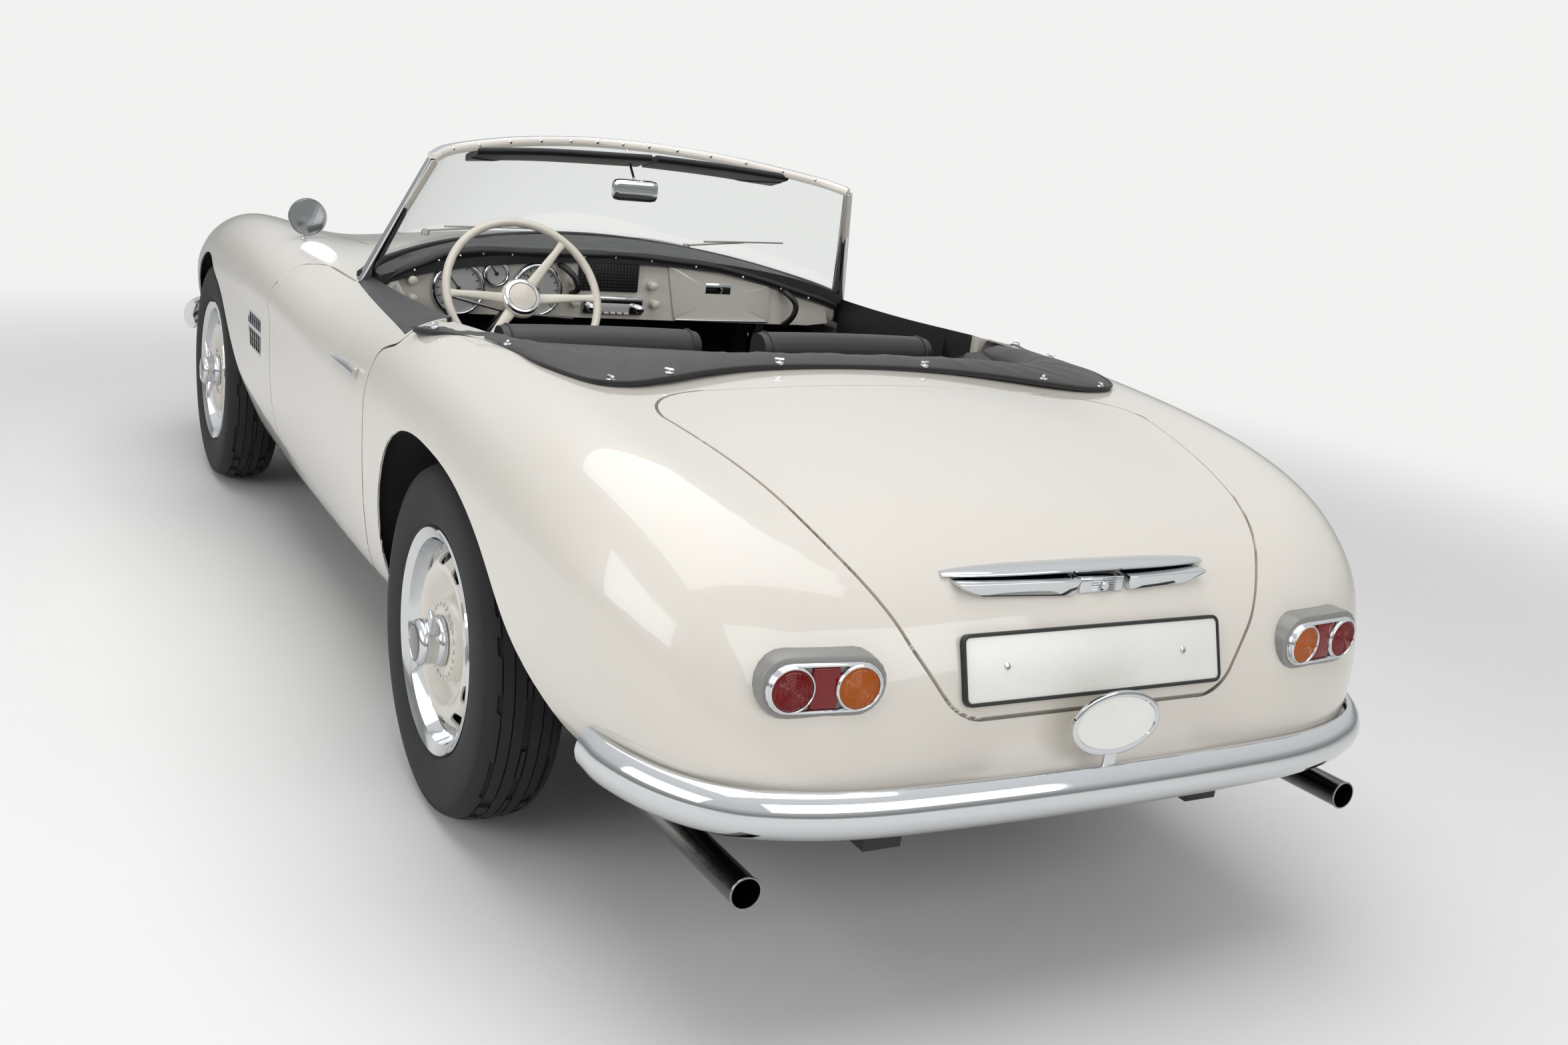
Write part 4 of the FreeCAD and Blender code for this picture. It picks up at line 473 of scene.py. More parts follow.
def makeDisc():
    s = wheelSettings
    disc = [(19.0, 56.0), (70.0, 56.0), (77.0, 54.0), (81.0, 48.0), (85.0, 35.0), (93.0, 30.0), (108.0, 34.0),
            (124.0, 48.0), (140.0, 58.0), (154.0, 57.0), (165.0, 47.0), (175.0, 33.0), (185.0, 25.0),
            (185.0, 21.0), (173.0, 29.0), (161.0, 43.0), (151.0, 53.0), (140.0, 54.0), (126.0, 44.0),
            (110.0, 30.0), (93.0, 26.0), (81.0, 31.0), (77.0, 46.0), (70.0, 52.0), (19.0, 52.0)]
    piece = lathe(disc, (0, 0, 0), (0, 1, 0), 96, 40.0)
    cutters = []
    nothingPicked()
    bpy.ops.mesh.primitive_cylinder_add(radius=s["slotRadius"] * mm, depth=90 * mm, vertices=24,
                                        rotation=(math.pi / 2, 0, 0))
    cutter = bpy.context.object
    bpy.ops.object.transform_apply(location=False, rotation=True, scale=False)
    for vertex in cutter.data.vertices:
        vertex.co.x += 9 * mm if vertex.co.x > 0.01 * mm else -9 * mm if vertex.co.x < -0.01 * mm else 0
        vertex.co += Vector((0, 30 * mm, s["slotPlace"] * mm))
    for i in range(s["slots"]):
        part = copied(cutter)
        part.data.transform(Matrix.Rotation(2 * math.pi * (i + 0.5) / s["slots"], 4, "Y"))
        cutters.append(part)
    bpy.data.objects.remove(cutter)
    cutter = joined(cutters)
    applyModifier(piece, "BOOLEAN", {"operation": "DIFFERENCE", "object": cutter, "solver": "EXACT"})
    bpy.data.objects.remove(cutter)
    applyModifier(piece, "BEVEL", {"width": 1.2 * mm, "segments": 2, "limit_method": "ANGLE",
                                   "angle_limit": math.radians(50)})
    only(piece)
    return shaded(40)


def makeRivets():
    s = wheelSettings
    heads = []
    bpy.ops.object.select_all(action="DESELECT")
    bpy.ops.mesh.primitive_uv_sphere_add(segments=10, ring_count=6, radius=s["rivetRadius"] * mm)
    head = bpy.context.object
    head.data.transform(Matrix.Scale(0.6, 4, (0, 1, 0)))
    for ring, depth, shift in ((99.0, 24.0, 0.0), (72.0, 57.0, 0.5)):
        for i in range(s["rivets"]):
            part = copied(head)
            part.data.transform(Matrix.Translation((0, depth * mm, ring * mm)))
            part.data.transform(Matrix.Rotation(2 * math.pi * (i + shift) / s["rivets"], 4, "Y"))
            heads.append(part)
    bpy.data.objects.remove(head)
    piece = joined(heads)
    bpy.ops.object.shade_smooth()
    return piece


def makeSpinner():
    s = wheelSettings
    base = s["hubFace"] - 8
    hub = [(0, 0), (50, 0), (51, 3), (49, 12), (45, 16), (44, 30), (46, 36), (45, 44), (40, 50), (36, 52),
           (35, 49), (0, 49)]
    body = lathe([(radius, base + along) for radius, along in hub], (0, 0, 0), (0, 1, 0), 48, 35.0)
    ears = []
    for side in (1, -1):
        nothingPicked()
        bpy.ops.mesh.primitive_cube_add(size=1)
        ear = bpy.context.object
        for vertex in ear.data.vertices:
            outer = vertex.co.z > 0
            thick = 4.0 if outer else 11.0
            wide = 11.0 if outer else 19.0
            vertex.co = Vector((math.copysign(wide, vertex.co.x),
                                base + 24 + math.copysign(thick, vertex.co.y) + (13.0 if outer else 0),
                                s["earReach"] if outer else 32.0)) * mm
        applyModifier(ear, "BEVEL", {"width": 3.4 * mm, "segments": 3, "limit_method": "ANGLE"})
        if side < 0:
            ear.data.transform(Matrix.Rotation(math.pi, 4, "Y"))
        ears.append(ear)
    joined([body] + ears)
    return shaded(35)


def makeHubPlate():
    base = wheelSettings["hubFace"] + 41.2
    plate = [(0, 0), (34.6, 0), (34.6, 1.5), (33, 2.6), (24, 3.6), (0, 4.4)]
    return lathe([(radius, base + along) for radius, along in plate], (0, 0, 0), (0, 1, 0), 40, 30.0)


def makeWheels():
    s = wheelSettings
    models = [("rim", makeRim(), chromePlate), ("disc", makeDisc(), ivoryEnamel),
              ("rivets", makeRivets(), ivoryEnamel), ("spinner", makeSpinner(), chromePlate),
              ("hubPlate", makeHubPlate(), blackEnamel)]
    tyre = makeTyre()
    for name, centre in wheelCentres.items():
        body = "wheel_" + name
        right = name.endswith("right")
        place = (centre[0], abs(centre[1]), centre[2])
        turn = Matrix.Rotation(math.radians(s["rearTurn" if "rear" in name else "frontTurn"]), 4, "Y")
        for kind, model, finish in models:
            piece = moved(copied(model), place, turn, right)
            dress(piece, kind + "_" + name, finish, body, ("wheel_" + name,) if kind == "rim" else ())
        piece = moved(copied(tyre), place, None, right)
        dress(piece, "treaded_tyre_" + name, tyreRubber, body, ("tyre_" + name,))
    for kind, model, finish in models:
        bpy.data.objects.remove(model)
    bpy.data.objects.remove(tyre)


makeWheels()
print("wheels and tyres made")


# a smooth row of points through the given ones
def fairLine(points, steps, closed=False):
    points = [Vector(p) for p in points]
    count = len(points)
    spans = count if closed else count - 1
    line = []
    for i in range(spans):
        before = points[(i - 1) % count] if closed or i > 0 else points[0] * 2 - points[1]
        here = points[i]
        ahead = points[(i + 1) % count]
        after = points[(i + 2) % count] if closed or i + 2 < count else points[-1] * 2 - points[-2]
        for k in range(steps):
            t = k / steps
            line.append((here * 2 + (ahead - before) * t + (before * 2 - here * 5 + ahead * 4 - after) * t * t
                         + (here * 3 - before - ahead * 3 + after) * t * t * t) * 0.5)
    if not closed:
        line.append(points[-1])
    return line


# a smooth row of points from the left half's ones and their mirror images
def acrossCar(half, steps):
    return fairLine(half + [Vector((p.x, -p.y, p.z)) for p in half[-2::-1]], steps)


# a skin laid over rows of points
def skin(rows, closed=True, capped=True, smooth=35.0):
    nothingPicked()
    if closed:
        rows = [row + [row[0]] for row in rows]
    across = len(rows[0])
    bpy.ops.mesh.primitive_grid_add(x_subdivisions=across - 1, y_subdivisions=len(rows) - 1)
    piece = bpy.context.object
    for i, vertex in enumerate(piece.data.vertices):
        vertex.co = Vector(rows[i // across][i % across]) * mm
    mergeDoubles(0.01)
    if capped:
        bpy.ops.mesh.select_all(action="DESELECT")
        bpy.ops.mesh.select_mode(type="EDGE")
        bpy.ops.mesh.select_non_manifold()
        bpy.ops.mesh.edge_face_add()
        bpy.ops.mesh.select_all(action="SELECT")
        bpy.ops.mesh.normals_make_consistent(inside=False)
    return shaded(smooth)


# a bar of one section carried along a line in plan; section points are (outwards, up)
def sweep(route, section, smooth=40.0, closed=False):
    rows = []
    last = len(route) - 1
    for i, point in enumerate(route):
        before = route[(i - 1) % len(route)] if closed else route[max(i - 1, 0)]
        after = route[(i + 1) % len(route)] if closed else route[min(i + 1, last)]
        ahead = (after - before).normalized()
        side = Vector((ahead.y, -ahead.x, 0)).normalized()
        up = side.cross(ahead)
        rows.append([point + side * out + up * rise for out, rise in section])
    if closed:
        rows.append(rows[0])
    return skin(rows, True, not closed, smooth)


# a round bar along a curve through or near the points
def tube(points, radius, sides=3):
    nothingPicked()
    bpy.ops.curve.primitive_nurbs_path_add()
    piece = bpy.context.object
    piece.data.splines.clear()
    spline = piece.data.splines.new("NURBS")
    spline.points.add(len(points) - 1)
    for knot, point in zip(spline.points, points):
        knot.co = tuple(Vector(point) * mm) + (1.0,)
    spline.order_u = 3
    spline.use_endpoint_u = True
    spline.resolution_u = 6
    piece.data.bevel_depth = radius * mm
    piece.data.bevel_resolution = sides
    piece.data.use_fill_caps = True
    bpy.ops.object.convert(target="MESH")
    only(bpy.context.object)
    mergeDoubles(0.02)
    bpy.ops.mesh.normals_make_consistent(inside=False)
    return shaded(40)


# a block between two corners, its edges rounded
def block(low, high, radius, segments=3, turn=None, about=None):
    nothingPicked()
    bpy.ops.mesh.primitive_cube_add(size=1)
    piece = bpy.context.object
    low, high = Vector(low), Vector(high)
    for vertex in piece.data.vertices:
        vertex.co = Vector([(low[i] + high[i]) / 2 + vertex.co[i] * (high[i] - low[i])
                            for i in range(3)]) * mm
    if radius:
        applyModifier(piece, "BEVEL", {"width": radius * mm, "segments": segments})
    if turn is not None:
        centre = Vector(about) * mm
        piece.data.transform(Matrix.Translation(centre) @ turn @ Matrix.Translation(-centre))
    only(piece)
    return shaded(35)


# a ring with rounded corners, leaning by a share of its height
def rounded(halfX, halfZ, radius, lean=0.0, steps=5):
    points = []
    for turn in range(4):
        cx, cz = ((1, 1), (-1, 1), (-1, -1), (1, -1))[turn]
        for i in range(steps):
            a = math.pi / 2 * (turn + i / (steps - 1))
            x = cx * (halfX - radius) + math.cos(a) * radius
            z = cz * (halfZ - radius) + math.sin(a) * radius
            points.append((x + lean * z, z))
    return points


def mirrored(piece):
    return moved(copied(piece), (0, 0, 0), None, True)


def dressBoth(piece, name, material):
    other = mirrored(piece)
    dress(piece, name + "_left", material)
    dress(other, name + "_right", material)


# the body's fair surface, from which the panels take their reflections
bodyStations = [
    ("rear", 0.900, 0.0, 0.22, [
        (0, .470), (.133, .470), (.242, .472), (.273, .480), (.285, .492), (.288, .505), (.286, .520),
        (.279, .530), (.242, .540), (.182, .545), (.133, .546), (.085, .547), (.042, .547), (0, .547)]),
    ("rear", 0.897, .012, 0.30, [
        (0, .420), (.315, .420), (.485, .430), (.564, .455), (.594, .500), (.606, .550), (.600, .595),
        (.582, .625), (.521, .650), (.430, .662), (.339, .666), (.230, .669), (.115, .670), (0, .670)]),
    ("rear", 0.848, .034, 0.26, [
        (0, .390), (.461, .390), (.655, .400), (.752, .440), (.788, .500), (.800, .570), (.794, .630),
        (.776, .675), (.709, .712), (.594, .728), (.467, .728), (.327, .732), (.158, .735), (0, .736)]),
    ("rear", 0.770, .048, 0.12, [
        (0, .375), (.533, .375), (.764, .395), (.855, .445), (.895, .525), (.907, .590), (.900, .660),
        (.882, .710), (.812, .768), (.694, .790), (.564, .782), (.400, .784), (.194, .787), (0, .788)]),
    ("rear", 0.627, .036, 0.0, [
        (0, .360), (.582, .360), (.824, .380), (.903, .430), (.952, .520), (.970, .590), (.970, .680),
        (.958, .730), (.897, .818), (.776, .860), (.642, .844), (.473, .846), (.230, .856), (0, .858)]),
    ("rear", 0.387, .012, 0.0, [
        (0, .300), (.606, .300), (.848, .330), (.927, .385), (.970, .480), (.992, .560), (.996, .690),
        (.988, .740), (.946, .842), (.836, .902), (.703, .892), (.533, .888), (.267, .905), (0, .909)]),
    ("base", 0.000, 0.0, 0.0, [
        (0, .260), (.630, .260), (.867, .290), (.939, .350), (.976, .450), (.994, .560), (1.0, .710),
        (.996, .750), (.964, .848), (.861, .918), (.727, .918), (.570, .908), (.291, .922), (0, .930)]),
    ("base", 0.133, 0.0, 0.0, [
        (0, .230), (.630, .230), (.848, .260), (.927, .320), (.970, .430), (.988, .540), (.996, .690),
        (.994, .742), (.970, .830), (.885, .903), (.752, .920), (.582, .912), (.291, .922), (0, .928)]),
    ("base", 0.262, 0.0, 0.0, [
        (0, .215), (.630, .215), (.848, .240), (.927, .300), (.970, .420), (.992, .540), (.996, .682),
        (.994, .740), (.964, .810), (.897, .868), (.776, .900), (.606, .908), (.303, .920), (0, .925)]),
    ("base", 0.403, 0.0, 0.0, [
        (0, .215), (.630, .215), (.848, .240), (.927, .300), (.970, .420), (.988, .540), (.994, .690),
        (.994, .735), (.958, .802), (.897, .850), (.788, .886), (.606, .938), (.303, .968), (0, .978)]),
    ("base", 0.565, 0.0, 0.0, [
        (0, .215), (.630, .215), (.848, .240), (.927, .300), (.964, .420), (.979, .540), (.982, .720),
        (1.004, .745), (.964, .815), (.897, .860), (.788, .892), (.606, .938), (.303, .975), (0, .988)]),
    ("base", 0.706, 0.0, 0.0, [
        (0, .220), (.630, .220), (.848, .250), (.927, .310), (.964, .430), (.977, .540), (.977, .700),
        (1.006, .731), (.970, .815), (.897, .868), (.788, .884), (.606, .884), (.291, .930), (0, .948)]),
    ("base", 0.847, 0.0, 0.0, [
        (0, .230), (.630, .230), (.848, .265), (.927, .330), (.964, .440), (.979, .550), (.979, .680),
        (1.006, .712), (.970, .820), (.885, .880), (.776, .887), (.582, .842), (.291, .884), (0, .900)]),
    ("base", 1.000, 0.0, 0.0, [
        (0, .260), (.630, .260), (.848, .300), (.927, .360), (.970, .460), (.988, .560), (.996, .665),
        (1.006, .700), (.964, .805), (.867, .868), (.752, .868), (.558, .796), (.279, .824), (0, .838)]),
    ("front", 0.393, .024, 0.0, [
        (0, .300), (.582, .300), (.800, .340), (.891, .400), (.945, .480), (.970, .560), (.976, .640),
        (.970, .680), (.927, .765), (.824, .820), (.703, .812), (.521, .740), (.261, .762), (0, .774)]),
    ("front", 0.650, .070, 0.05, [
        (0, .340), (.533, .340), (.752, .370), (.848, .420), (.903, .490), (.927, .550), (.927, .615),
        (.915, .655), (.867, .720), (.776, .755), (.655, .748), (.485, .695), (.242, .706), (0, .712)]),
    ("front", 0.755, .105, 0.14, [
        (0, .380), (.461, .380), (.655, .400), (.752, .440), (.806, .500), (.824, .540), (.824, .590),
        (.806, .625), (.752, .665), (.655, .682), (.545, .676), (.400, .656), (.194, .662), (0, .665)]),
    ("front", 0.805, .100, 0.14, [
        (0, .440), (.339, .440), (.485, .450), (.558, .475), (.600, .510), (.612, .535), (.612, .565),
        (.600, .590), (.558, .612), (.485, .622), (.400, .622), (.291, .620), (.145, .622), (0, .624)]),
    ("front", 0.885, 0.0, 0.14, [
        (0, .500), (.133, .500), (.242, .503), (.273, .512), (.285, .525), (.288, .535), (.286, .548),
        (.279, .556), (.242, .565), (.182, .570), (.133, .570), (.085, .570), (.042, .570), (0, .570)])]
bodySizes = {"halfWidth": 825.0, "height": 1000.0, "rearOverhang": 1085.0, "wheelbase": 2480.0,
             "frontOverhang": 815.0, "leanHeight": 600.0, "rowSteps": 22, "ringSteps": 12}


def bodyPoles():
    s = bodySizes
    rings = []
    for zone, share, bow, lean, points in bodyStations:
        x = {"rear": rearAxle - share * s["rearOverhang"], "base": rearAxle + share * s["wheelbase"],
             "front": rearAxle + s["wheelbase"] + share * s["frontOverhang"]}[zone]
        forward = 1 if zone == "front" else -1
        ring = []
        for y, z in points:
            height = z * s["height"]
            ring.append((x + bow * s["halfWidth"] * (1 - y * y) * forward + lean * (height - s["leanHeight"]),
                         y * s["halfWidth"], height))
        ring += [(p[0], -p[1], p[2]) for p in ring[-2:0:-1]]
        rings.append(ring)
    return numpy.array(rings) * mm


# cubic weights of each control row at each place
def basis(knots, count, places):
    weights = numpy.zeros((len(places), len(knots) - 1))
    for i in range(len(knots) - 1):
        weights[:, i] = (places >= knots[i]) & (places < knots[i + 1])
    for degree in range(1, 4):
        raised = numpy.zeros((len(places), len(knots) - 1 - degree))
        for i in range(len(knots) - 1 - degree):
            if knots[i + degree] > knots[i]:
                raised[:, i] += (places - knots[i]) / (knots[i + degree] - knots[i]) * weights[:, i]
            if knots[i + degree + 1] > knots[i + 1]:
                raised[:, i] += ((knots[i + degree + 1] - places) / (knots[i + degree + 1] - knots[i + 1])
                                 * weights[:, i + 1])
        weights = raised
    return weights[:, :count]


def makeFairNet():
    s = bodySizes
    poles = bodyPoles()
    rows, around = poles.shape[:2]
    spans = rows - 3
    knots = [0] * 3 + list(range(spans + 1)) + [spans] * 3
    rowPlaces = numpy.linspace(0, spans - 1e-9, spans * s["rowSteps"] + 1)
    rowWeights = basis(knots, rows, rowPlaces)
    wrapped = numpy.concatenate([poles, poles[:, :3]], axis=1)
    ringPlaces = numpy.linspace(3, around + 3 - 1e-9, around * s["ringSteps"] + 1)[:-1]
    ringWeights = basis(list(range(around + 7)), around + 3, ringPlaces)
    spots = numpy.einsum("ar,bc,rcx->abx", rowWeights, ringWeights, wrapped)
    along = numpy.gradient(spots, axis=0)
    across = numpy.roll(spots, -1, axis=1) - numpy.roll(spots, 1, axis=1)
    normals = numpy.cross(along, across)
    normals /= numpy.linalg.norm(normals, axis=2)[:, :, None] + 1e-12
    middle = spots.mean(axis=(0, 1))
    side = spots[spots.shape[0] // 2, 0] - middle
    if numpy.dot(side, normals[spots.shape[0] // 2, 0]) < 0:
        normals = -normals
    count, ring = spots.shape[:2]
    faces = [(a * ring + b, a * ring + (b + 1) % ring, (a + 1) * ring + (b + 1) % ring, (a + 1) * ring + b)
             for a in range(count - 1) for b in range(ring)]
    flat = spots.reshape(-1, 3)
    tree = BVHTree.FromPolygons([Vector(p) for p in flat], faces)
    return tree, faces, flat, normals.reshape(-1, 3)


# gives a panel the fair surface's normals wherever it lies within reach of that surface
def fairNormals(piece, net, reach=1.3):
    tree, faces, spots, normals = net
    mesh = piece.data
    found = {}
    for vertex in mesh.vertices:
        nearest, _, index, _ = tree.find_nearest(vertex.co, reach * mm)
        if nearest is not None:
            corners = faces[index]
            weights = [1 / ((Vector(spots[c]) - nearest).length ** 2 + 1e-9) for c in corners]
            blend = Vector((0, 0, 0))
            for c, weight in zip(corners, weights):
                blend += Vector(normals[c]) * weight
            found[vertex.index] = blend.normalized()
    shading = [Vector(c.vector) for c in mesh.corner_normals]
    for face in mesh.polygons:
        if all(v in found for v in face.vertices) and face.normal.dot(found[face.vertices[0]]) > 0.7:
            for loop, vertex in zip(face.loop_indices, face.vertices):
                shading[loop] = found[vertex]
    mesh.normals_split_custom_set(shading)


fairNet = makeFairNet()
for name in ("sill_panels", "front_body", "rear_body", "bonnet", "boot_lid", "door_left", "door_right"):
    fairNormals(bpy.data.objects[name + "_finished"], fairNet)
print("body panels faired")

# tail lamps: a pale pad on each side with two ringed lenses and a reflector between them
lampSettings = {"inner": (-976.0, 453.2, 624.0), "outer": (-964.0, 558.2, 624.0), "halfLong": 102.5,
                "halfTall": 48.5, "depth": 46.0, "rim": 9.0, "lens": 31.4, "dome": 13.0, "ribs": 9,
                "ribStep": 3.2}


def stadium(halfLong, halfTall, steps=10):
    points = []
    for sign in (1, -1):
        for i in range(steps + 1):
            turn = math.pi * (i / steps - 0.5)
            along = halfLong - halfTall + math.cos(turn) * halfTall
            points.append((sign * along, sign * math.sin(turn) * halfTall))
    return points


def makeTailLamps():
    s = lampSettings
    inner, outer = spot(*s["inner"]), spot(*s["outer"])
    across = (outer - inner).normalized()
    back = Vector((-across.y, across.x, 0))
    middle = (inner + outer) / 2
    rows = []
    for scale, depth in ((1.0, -s["depth"]), (1.0, -3.5), (0.985, -1.0), (0.955, 0.0), (0.5, 0.6)):
        rows.append([middle + across * (a * scale) + Vector((0, 0, b * scale)) + back * depth
                     for a, b in stadium(s["halfLong"], s["halfTall"])])
    dressBoth(skin(rows), "lamp_pad", lampPad)
    rows = []
    for grow, depth in ((0, -2), (0, 5), (-2, 8), (-5, 8), (-7, 5), (-7, -2)):
        rows.append([middle + across * a + Vector((0, 0, b)) + back * depth
                     for a, b in stadium(s["halfLong"] - s["rim"] + grow, s["halfTall"] - s["rim"] + grow)])
    dressBoth(skin(rows + [rows[0]], True, False), "lamp_frame", chromePlate)
    ringProfile = [(31.0, -2), (37.0, -2), (37.2, 6), (36.2, 9.5), (34.6, 11.0), (33.0, 11.0), (31.6, 9),
                   (31.0, 4)]
    lensProfile = [(0, -1), (s["lens"], -1), (s["lens"], 8)]
    for k in range(s["ribs"], 0, -1):
        r = k * s["ribStep"]
        rise = s["dome"] - 4.5 * (r / s["lens"]) ** 2
        lensProfile += [(r + 0.9, rise - 0.9), (r, rise + 0.3), (r - 0.9, rise - 0.6)]
    lensProfile.append((0, 12.8))
    for name, centre, finish in (("amber_lens", inner, amberLens), ("red_lens", outer, redLens)):
        dressBoth(lathe(ringProfile, centre, back, 48, 40.0), name + "_bezel", chromePlate)
        dressBoth(lathe(lensProfile, centre, back, 48, 20.0), name, finish)
    turn = Matrix.Rotation(math.atan2(-across.x, across.y), 4, "Z")
    glass = block(middle + Vector((-6.0, -22.0, -32.0)), middle + Vector((6.0, 22.0, 32.0)), 3.0, 3,
                  turn, middle)
    other = mirrored(glass)
    dress(glass, "reflector_left", redLens, "body", ("tail_lamps",))
    dress(other, "reflector_right", redLens)


makeTailLamps()

# rear bumper: a pressed blade, rolled inwards along its top and bottom edges, ends swept forward
bumperSettings = {
    "height": 439.0,
    "crest": [(-712, 776), (-765, 772), (-830, 754), (-890, 727), (-945, 688), (-990, 636), (-1020, 572),
              (-1042, 495), (-1056, 400), (-1064, 260), (-1068, 120), (-1069, 0)]}


def makeRearBumper():
    s = bumperSettings
    line = acrossCar([spot(x, y, s["height"]) for x, y in s["crest"]], 5)
    section = [(0, 0), (-1.5, 10), (-5, 20), (-10, 28), (-16, 33.5), (-20, 36.5), (-23, 38), (-30, 37.5),
               (-30, 34.5), (-24, 34.5), (-19, 31), (-13, 25), (-8, 17), (-4.5, 8), (-3.5, 0), (-4.5, -9),
               (-8, -18), (-14, -27), (-20, -33), (-27, -36), (-31, -36), (-31, -39), (-25, -39), (-18, -36),
               (-11, -30), (-5, -20), (-1.5, -10)]
    piece = sweep(line, section)
    dress(piece, "rear_bumper_blade", chromePlate, "body", ("rear_bumper",))
    for side in (1, -1):
        iron = block((-2148.0, side * 335 - 15, 424), (-2040, side * 335 + 15, 452), 3.0)
        dress(iron, "bumper_iron_" + ("left" if side > 0 else "right"), chassisPaint)


makeRearBumper()

# twin tail pipes: a wide polished end sleeve clamped over the darker pipe that comes over the axle
exhaustSettings = {
    "tip": (-1005.5, 614.5, 326.0), "clamp": (-605.0, 614.0, 309.0), "sleeve": 25.0, "pipe": 21.5,
    "route": [(-1555, 600, 300), (-1500, 480, 285), (-1430, 300, 240), (-1380, 245, 228), (-1200, 220, 214),
              (-1020, 210, 208), (-900, 205, 150), (-845, 205, 127), (-600, 203, 127), (600, 190, 127),
              (685, 190, 135), (685, 190, 244)]}


def makeExhaust():
    s = exhaustSettings
    tip, clamp = spot(*s["tip"]), spot(*s["clamp"])
    axis = (tip - clamp).normalized()
    length = (tip - clamp).length
    r = s["sleeve"]
    sleeve = lathe([(r, 0), (r, length - 3), (r + 1.2, length - 1.5), (r + 0.6, length), (r - 1.6, length),
                    (r - 2.2, length - 4), (r - 2.2, length - 260), (0, length - 262), (0, -2), (r - 3, -2)],
                   clamp, axis, 40, 40.0)
    dressBoth(sleeve, "tail_pipe_end", polishedSteel)
    strap = lathe([(r, -4), (r + 3, -4), (r + 3.6, 3), (r + 3, 11), (r, 11)], clamp, axis, 40, 40.0)
    dressBoth(strap, "tail_pipe_clamp", dullSteel)
    route = [clamp + axis * 20, clamp - axis * 160] + [Vector(p) for p in s["route"]]
    pipe = tube(route, s["pipe"], 4)
    other = mirrored(pipe)
    dress(pipe, "exhaust_pipe_left", sootySteel, "body", ("exhaust",))
    dress(other, "exhaust_pipe_right", sootySteel)


makeExhaust()
print("tail fittings made")

# number plate, blank, in a dark surround on the boot lid
plateSettings = {"low": (-2093.0, 0.0, 575.0), "lean": 18.5, "halfWide": 262.0, "tall": 112.0, "rim": 6.0}


def onPlate(piece):
    s = plateSettings
    return moved(piece, s["low"], Matrix.Rotation(math.radians(s["lean"]), 4, "Y"))


def makePlate():
    s = plateSettings
    w, h, rim = s["halfWide"], s["tall"], s["rim"]
    rows = []
    for out, push, depth in ((0, 0, 4.0), (0, 0, -4.0), (1.5, 1.5, -5.5), (rim - 1.5, rim - 1.5, -5.5),
                             (rim, rim, -4.0), (rim, rim, 1.0)):
        ring = []
        for turn in range(4):
            corner = ((w, h), (-w, h), (-w, 0), (w, 0))[turn]
            inward = ((-1, -1), (1, -1), (1, 1), (-1, 1))[turn]
            radius = 14.0 - min(out, 8.0)
            cx = corner[0] + inward[0] * (out + radius)
            cz = corner[1] + inward[1] * (push + radius)
            for i in range(6):
                a = math.pi / 2 * (turn + i / 5)
                ring.append(Vector((depth, cx + math.cos(a) * radius, cz + math.sin(a) * radius)))
        rows.append(ring)
    surround = onPlate(skin(rows + [rows[0]], True, False, 40.0))
    dress(surround, "plate_surround", blackMoulding, "boot_lid")
    face = onPlate(block((-3.2, -w + rim - 0.5, rim - 0.5), (1.0, w - rim + 0.5, h - rim + 0.5), 0.8, 2))
    dress(face, "plate_blank", plateWhite, "boot_lid", ("number_plate",))
    for y in (-180.0, 180.0):
        head = [(0, 2), (6, 2), (6, 4.5), (4.5, 6), (0, 6.6)]
        screw = onPlate(lathe(head, (0, y, 58.0), (-1, 0, 0), 16, 30.0))
        dress(screw, "plate_screw_" + ("left" if y > 0 else "right"), chromePlate, "boot_lid")


makePlate()

# boot handle: a thin blade over two gull-wing arms, with a ribbed lock button
handleSettings = {"x": -1990.0, "z": 752.0, "half": 268.0, "bow": 11.0}


def makeBootHandle():
    s = handleSettings
    rows = []
    for k in range(-24, 25):
        share = k / 24
        thin = 1 - 0.55 * abs(share) ** 4
        centre = Vector((s["x"] + 6 - s["bow"] * (1 - share * share), s["half"] * share,
                         s["z"] + 8 - 5 * share * share))
        rows.append([centre + Vector((-math.cos(a) * 26 * thin, 0, math.sin(a) * 9.0 * thin)) for a in
                     [2 * math.pi * i / 20 for i in range(20)]])
    blade = skin(rows)
    dress(blade, "boot_handle_blade", chromePlate, "boot_lid", ("boot_handle",))
    near = ((252, 5), (246, 10), (208, 24), (60, 29), (30, 29), (24, 14))
    far = ((252, 5), (246, 10), (208, 22), (110, 25), (84, 25), (78, 12))
    for name, side, stations in (("left", 1, near), ("right", -1, far)):
        rows = []
        for y, tall in stations:
            centre = Vector((s["x"] - 8 - s["bow"] * (1 - (y / s["half"]) ** 2), y * side,
                             s["z"] - 2 - tall / 2))
            rows.append([centre + Vector((a - 0.25 * b, 0, b)) for a, b in rounded(26, tall / 2, 2.4)])
        dress(skin(rows), "boot_handle_arm_" + name, chromePlate, "boot_lid")
    parts = [block((s["x"] - 38, -72, s["z"] - 30), (s["x"] + 18, 18, s["z"] - 3), 3.0)]
    for k in range(6):
        z = s["z"] - 26.5 + k * 4.0
        parts.append(block((s["x"] - 41, -54, z), (s["x"] + 16, -4, z + 2.4), 1.0, 2))
    parts.append(lathe([(0, 0), (8, 0), (8, 5), (6, 6.5), (0, 6.5)], (s["x"] - 38, -29, s["z"] - 16.5),
                       (-1, 0, 0), 24, 35.0))
    dress(joined(parts), "boot_lock", chromePlate, "boot_lid")


makeBootHandle()

# oval badge: a bright rim round a blank disc on a short stalk
badgeSettings = {"centre": (-2148.0, 3.0, 549.0), "wide": 88.0, "tall": 54.0, "steps": 56}


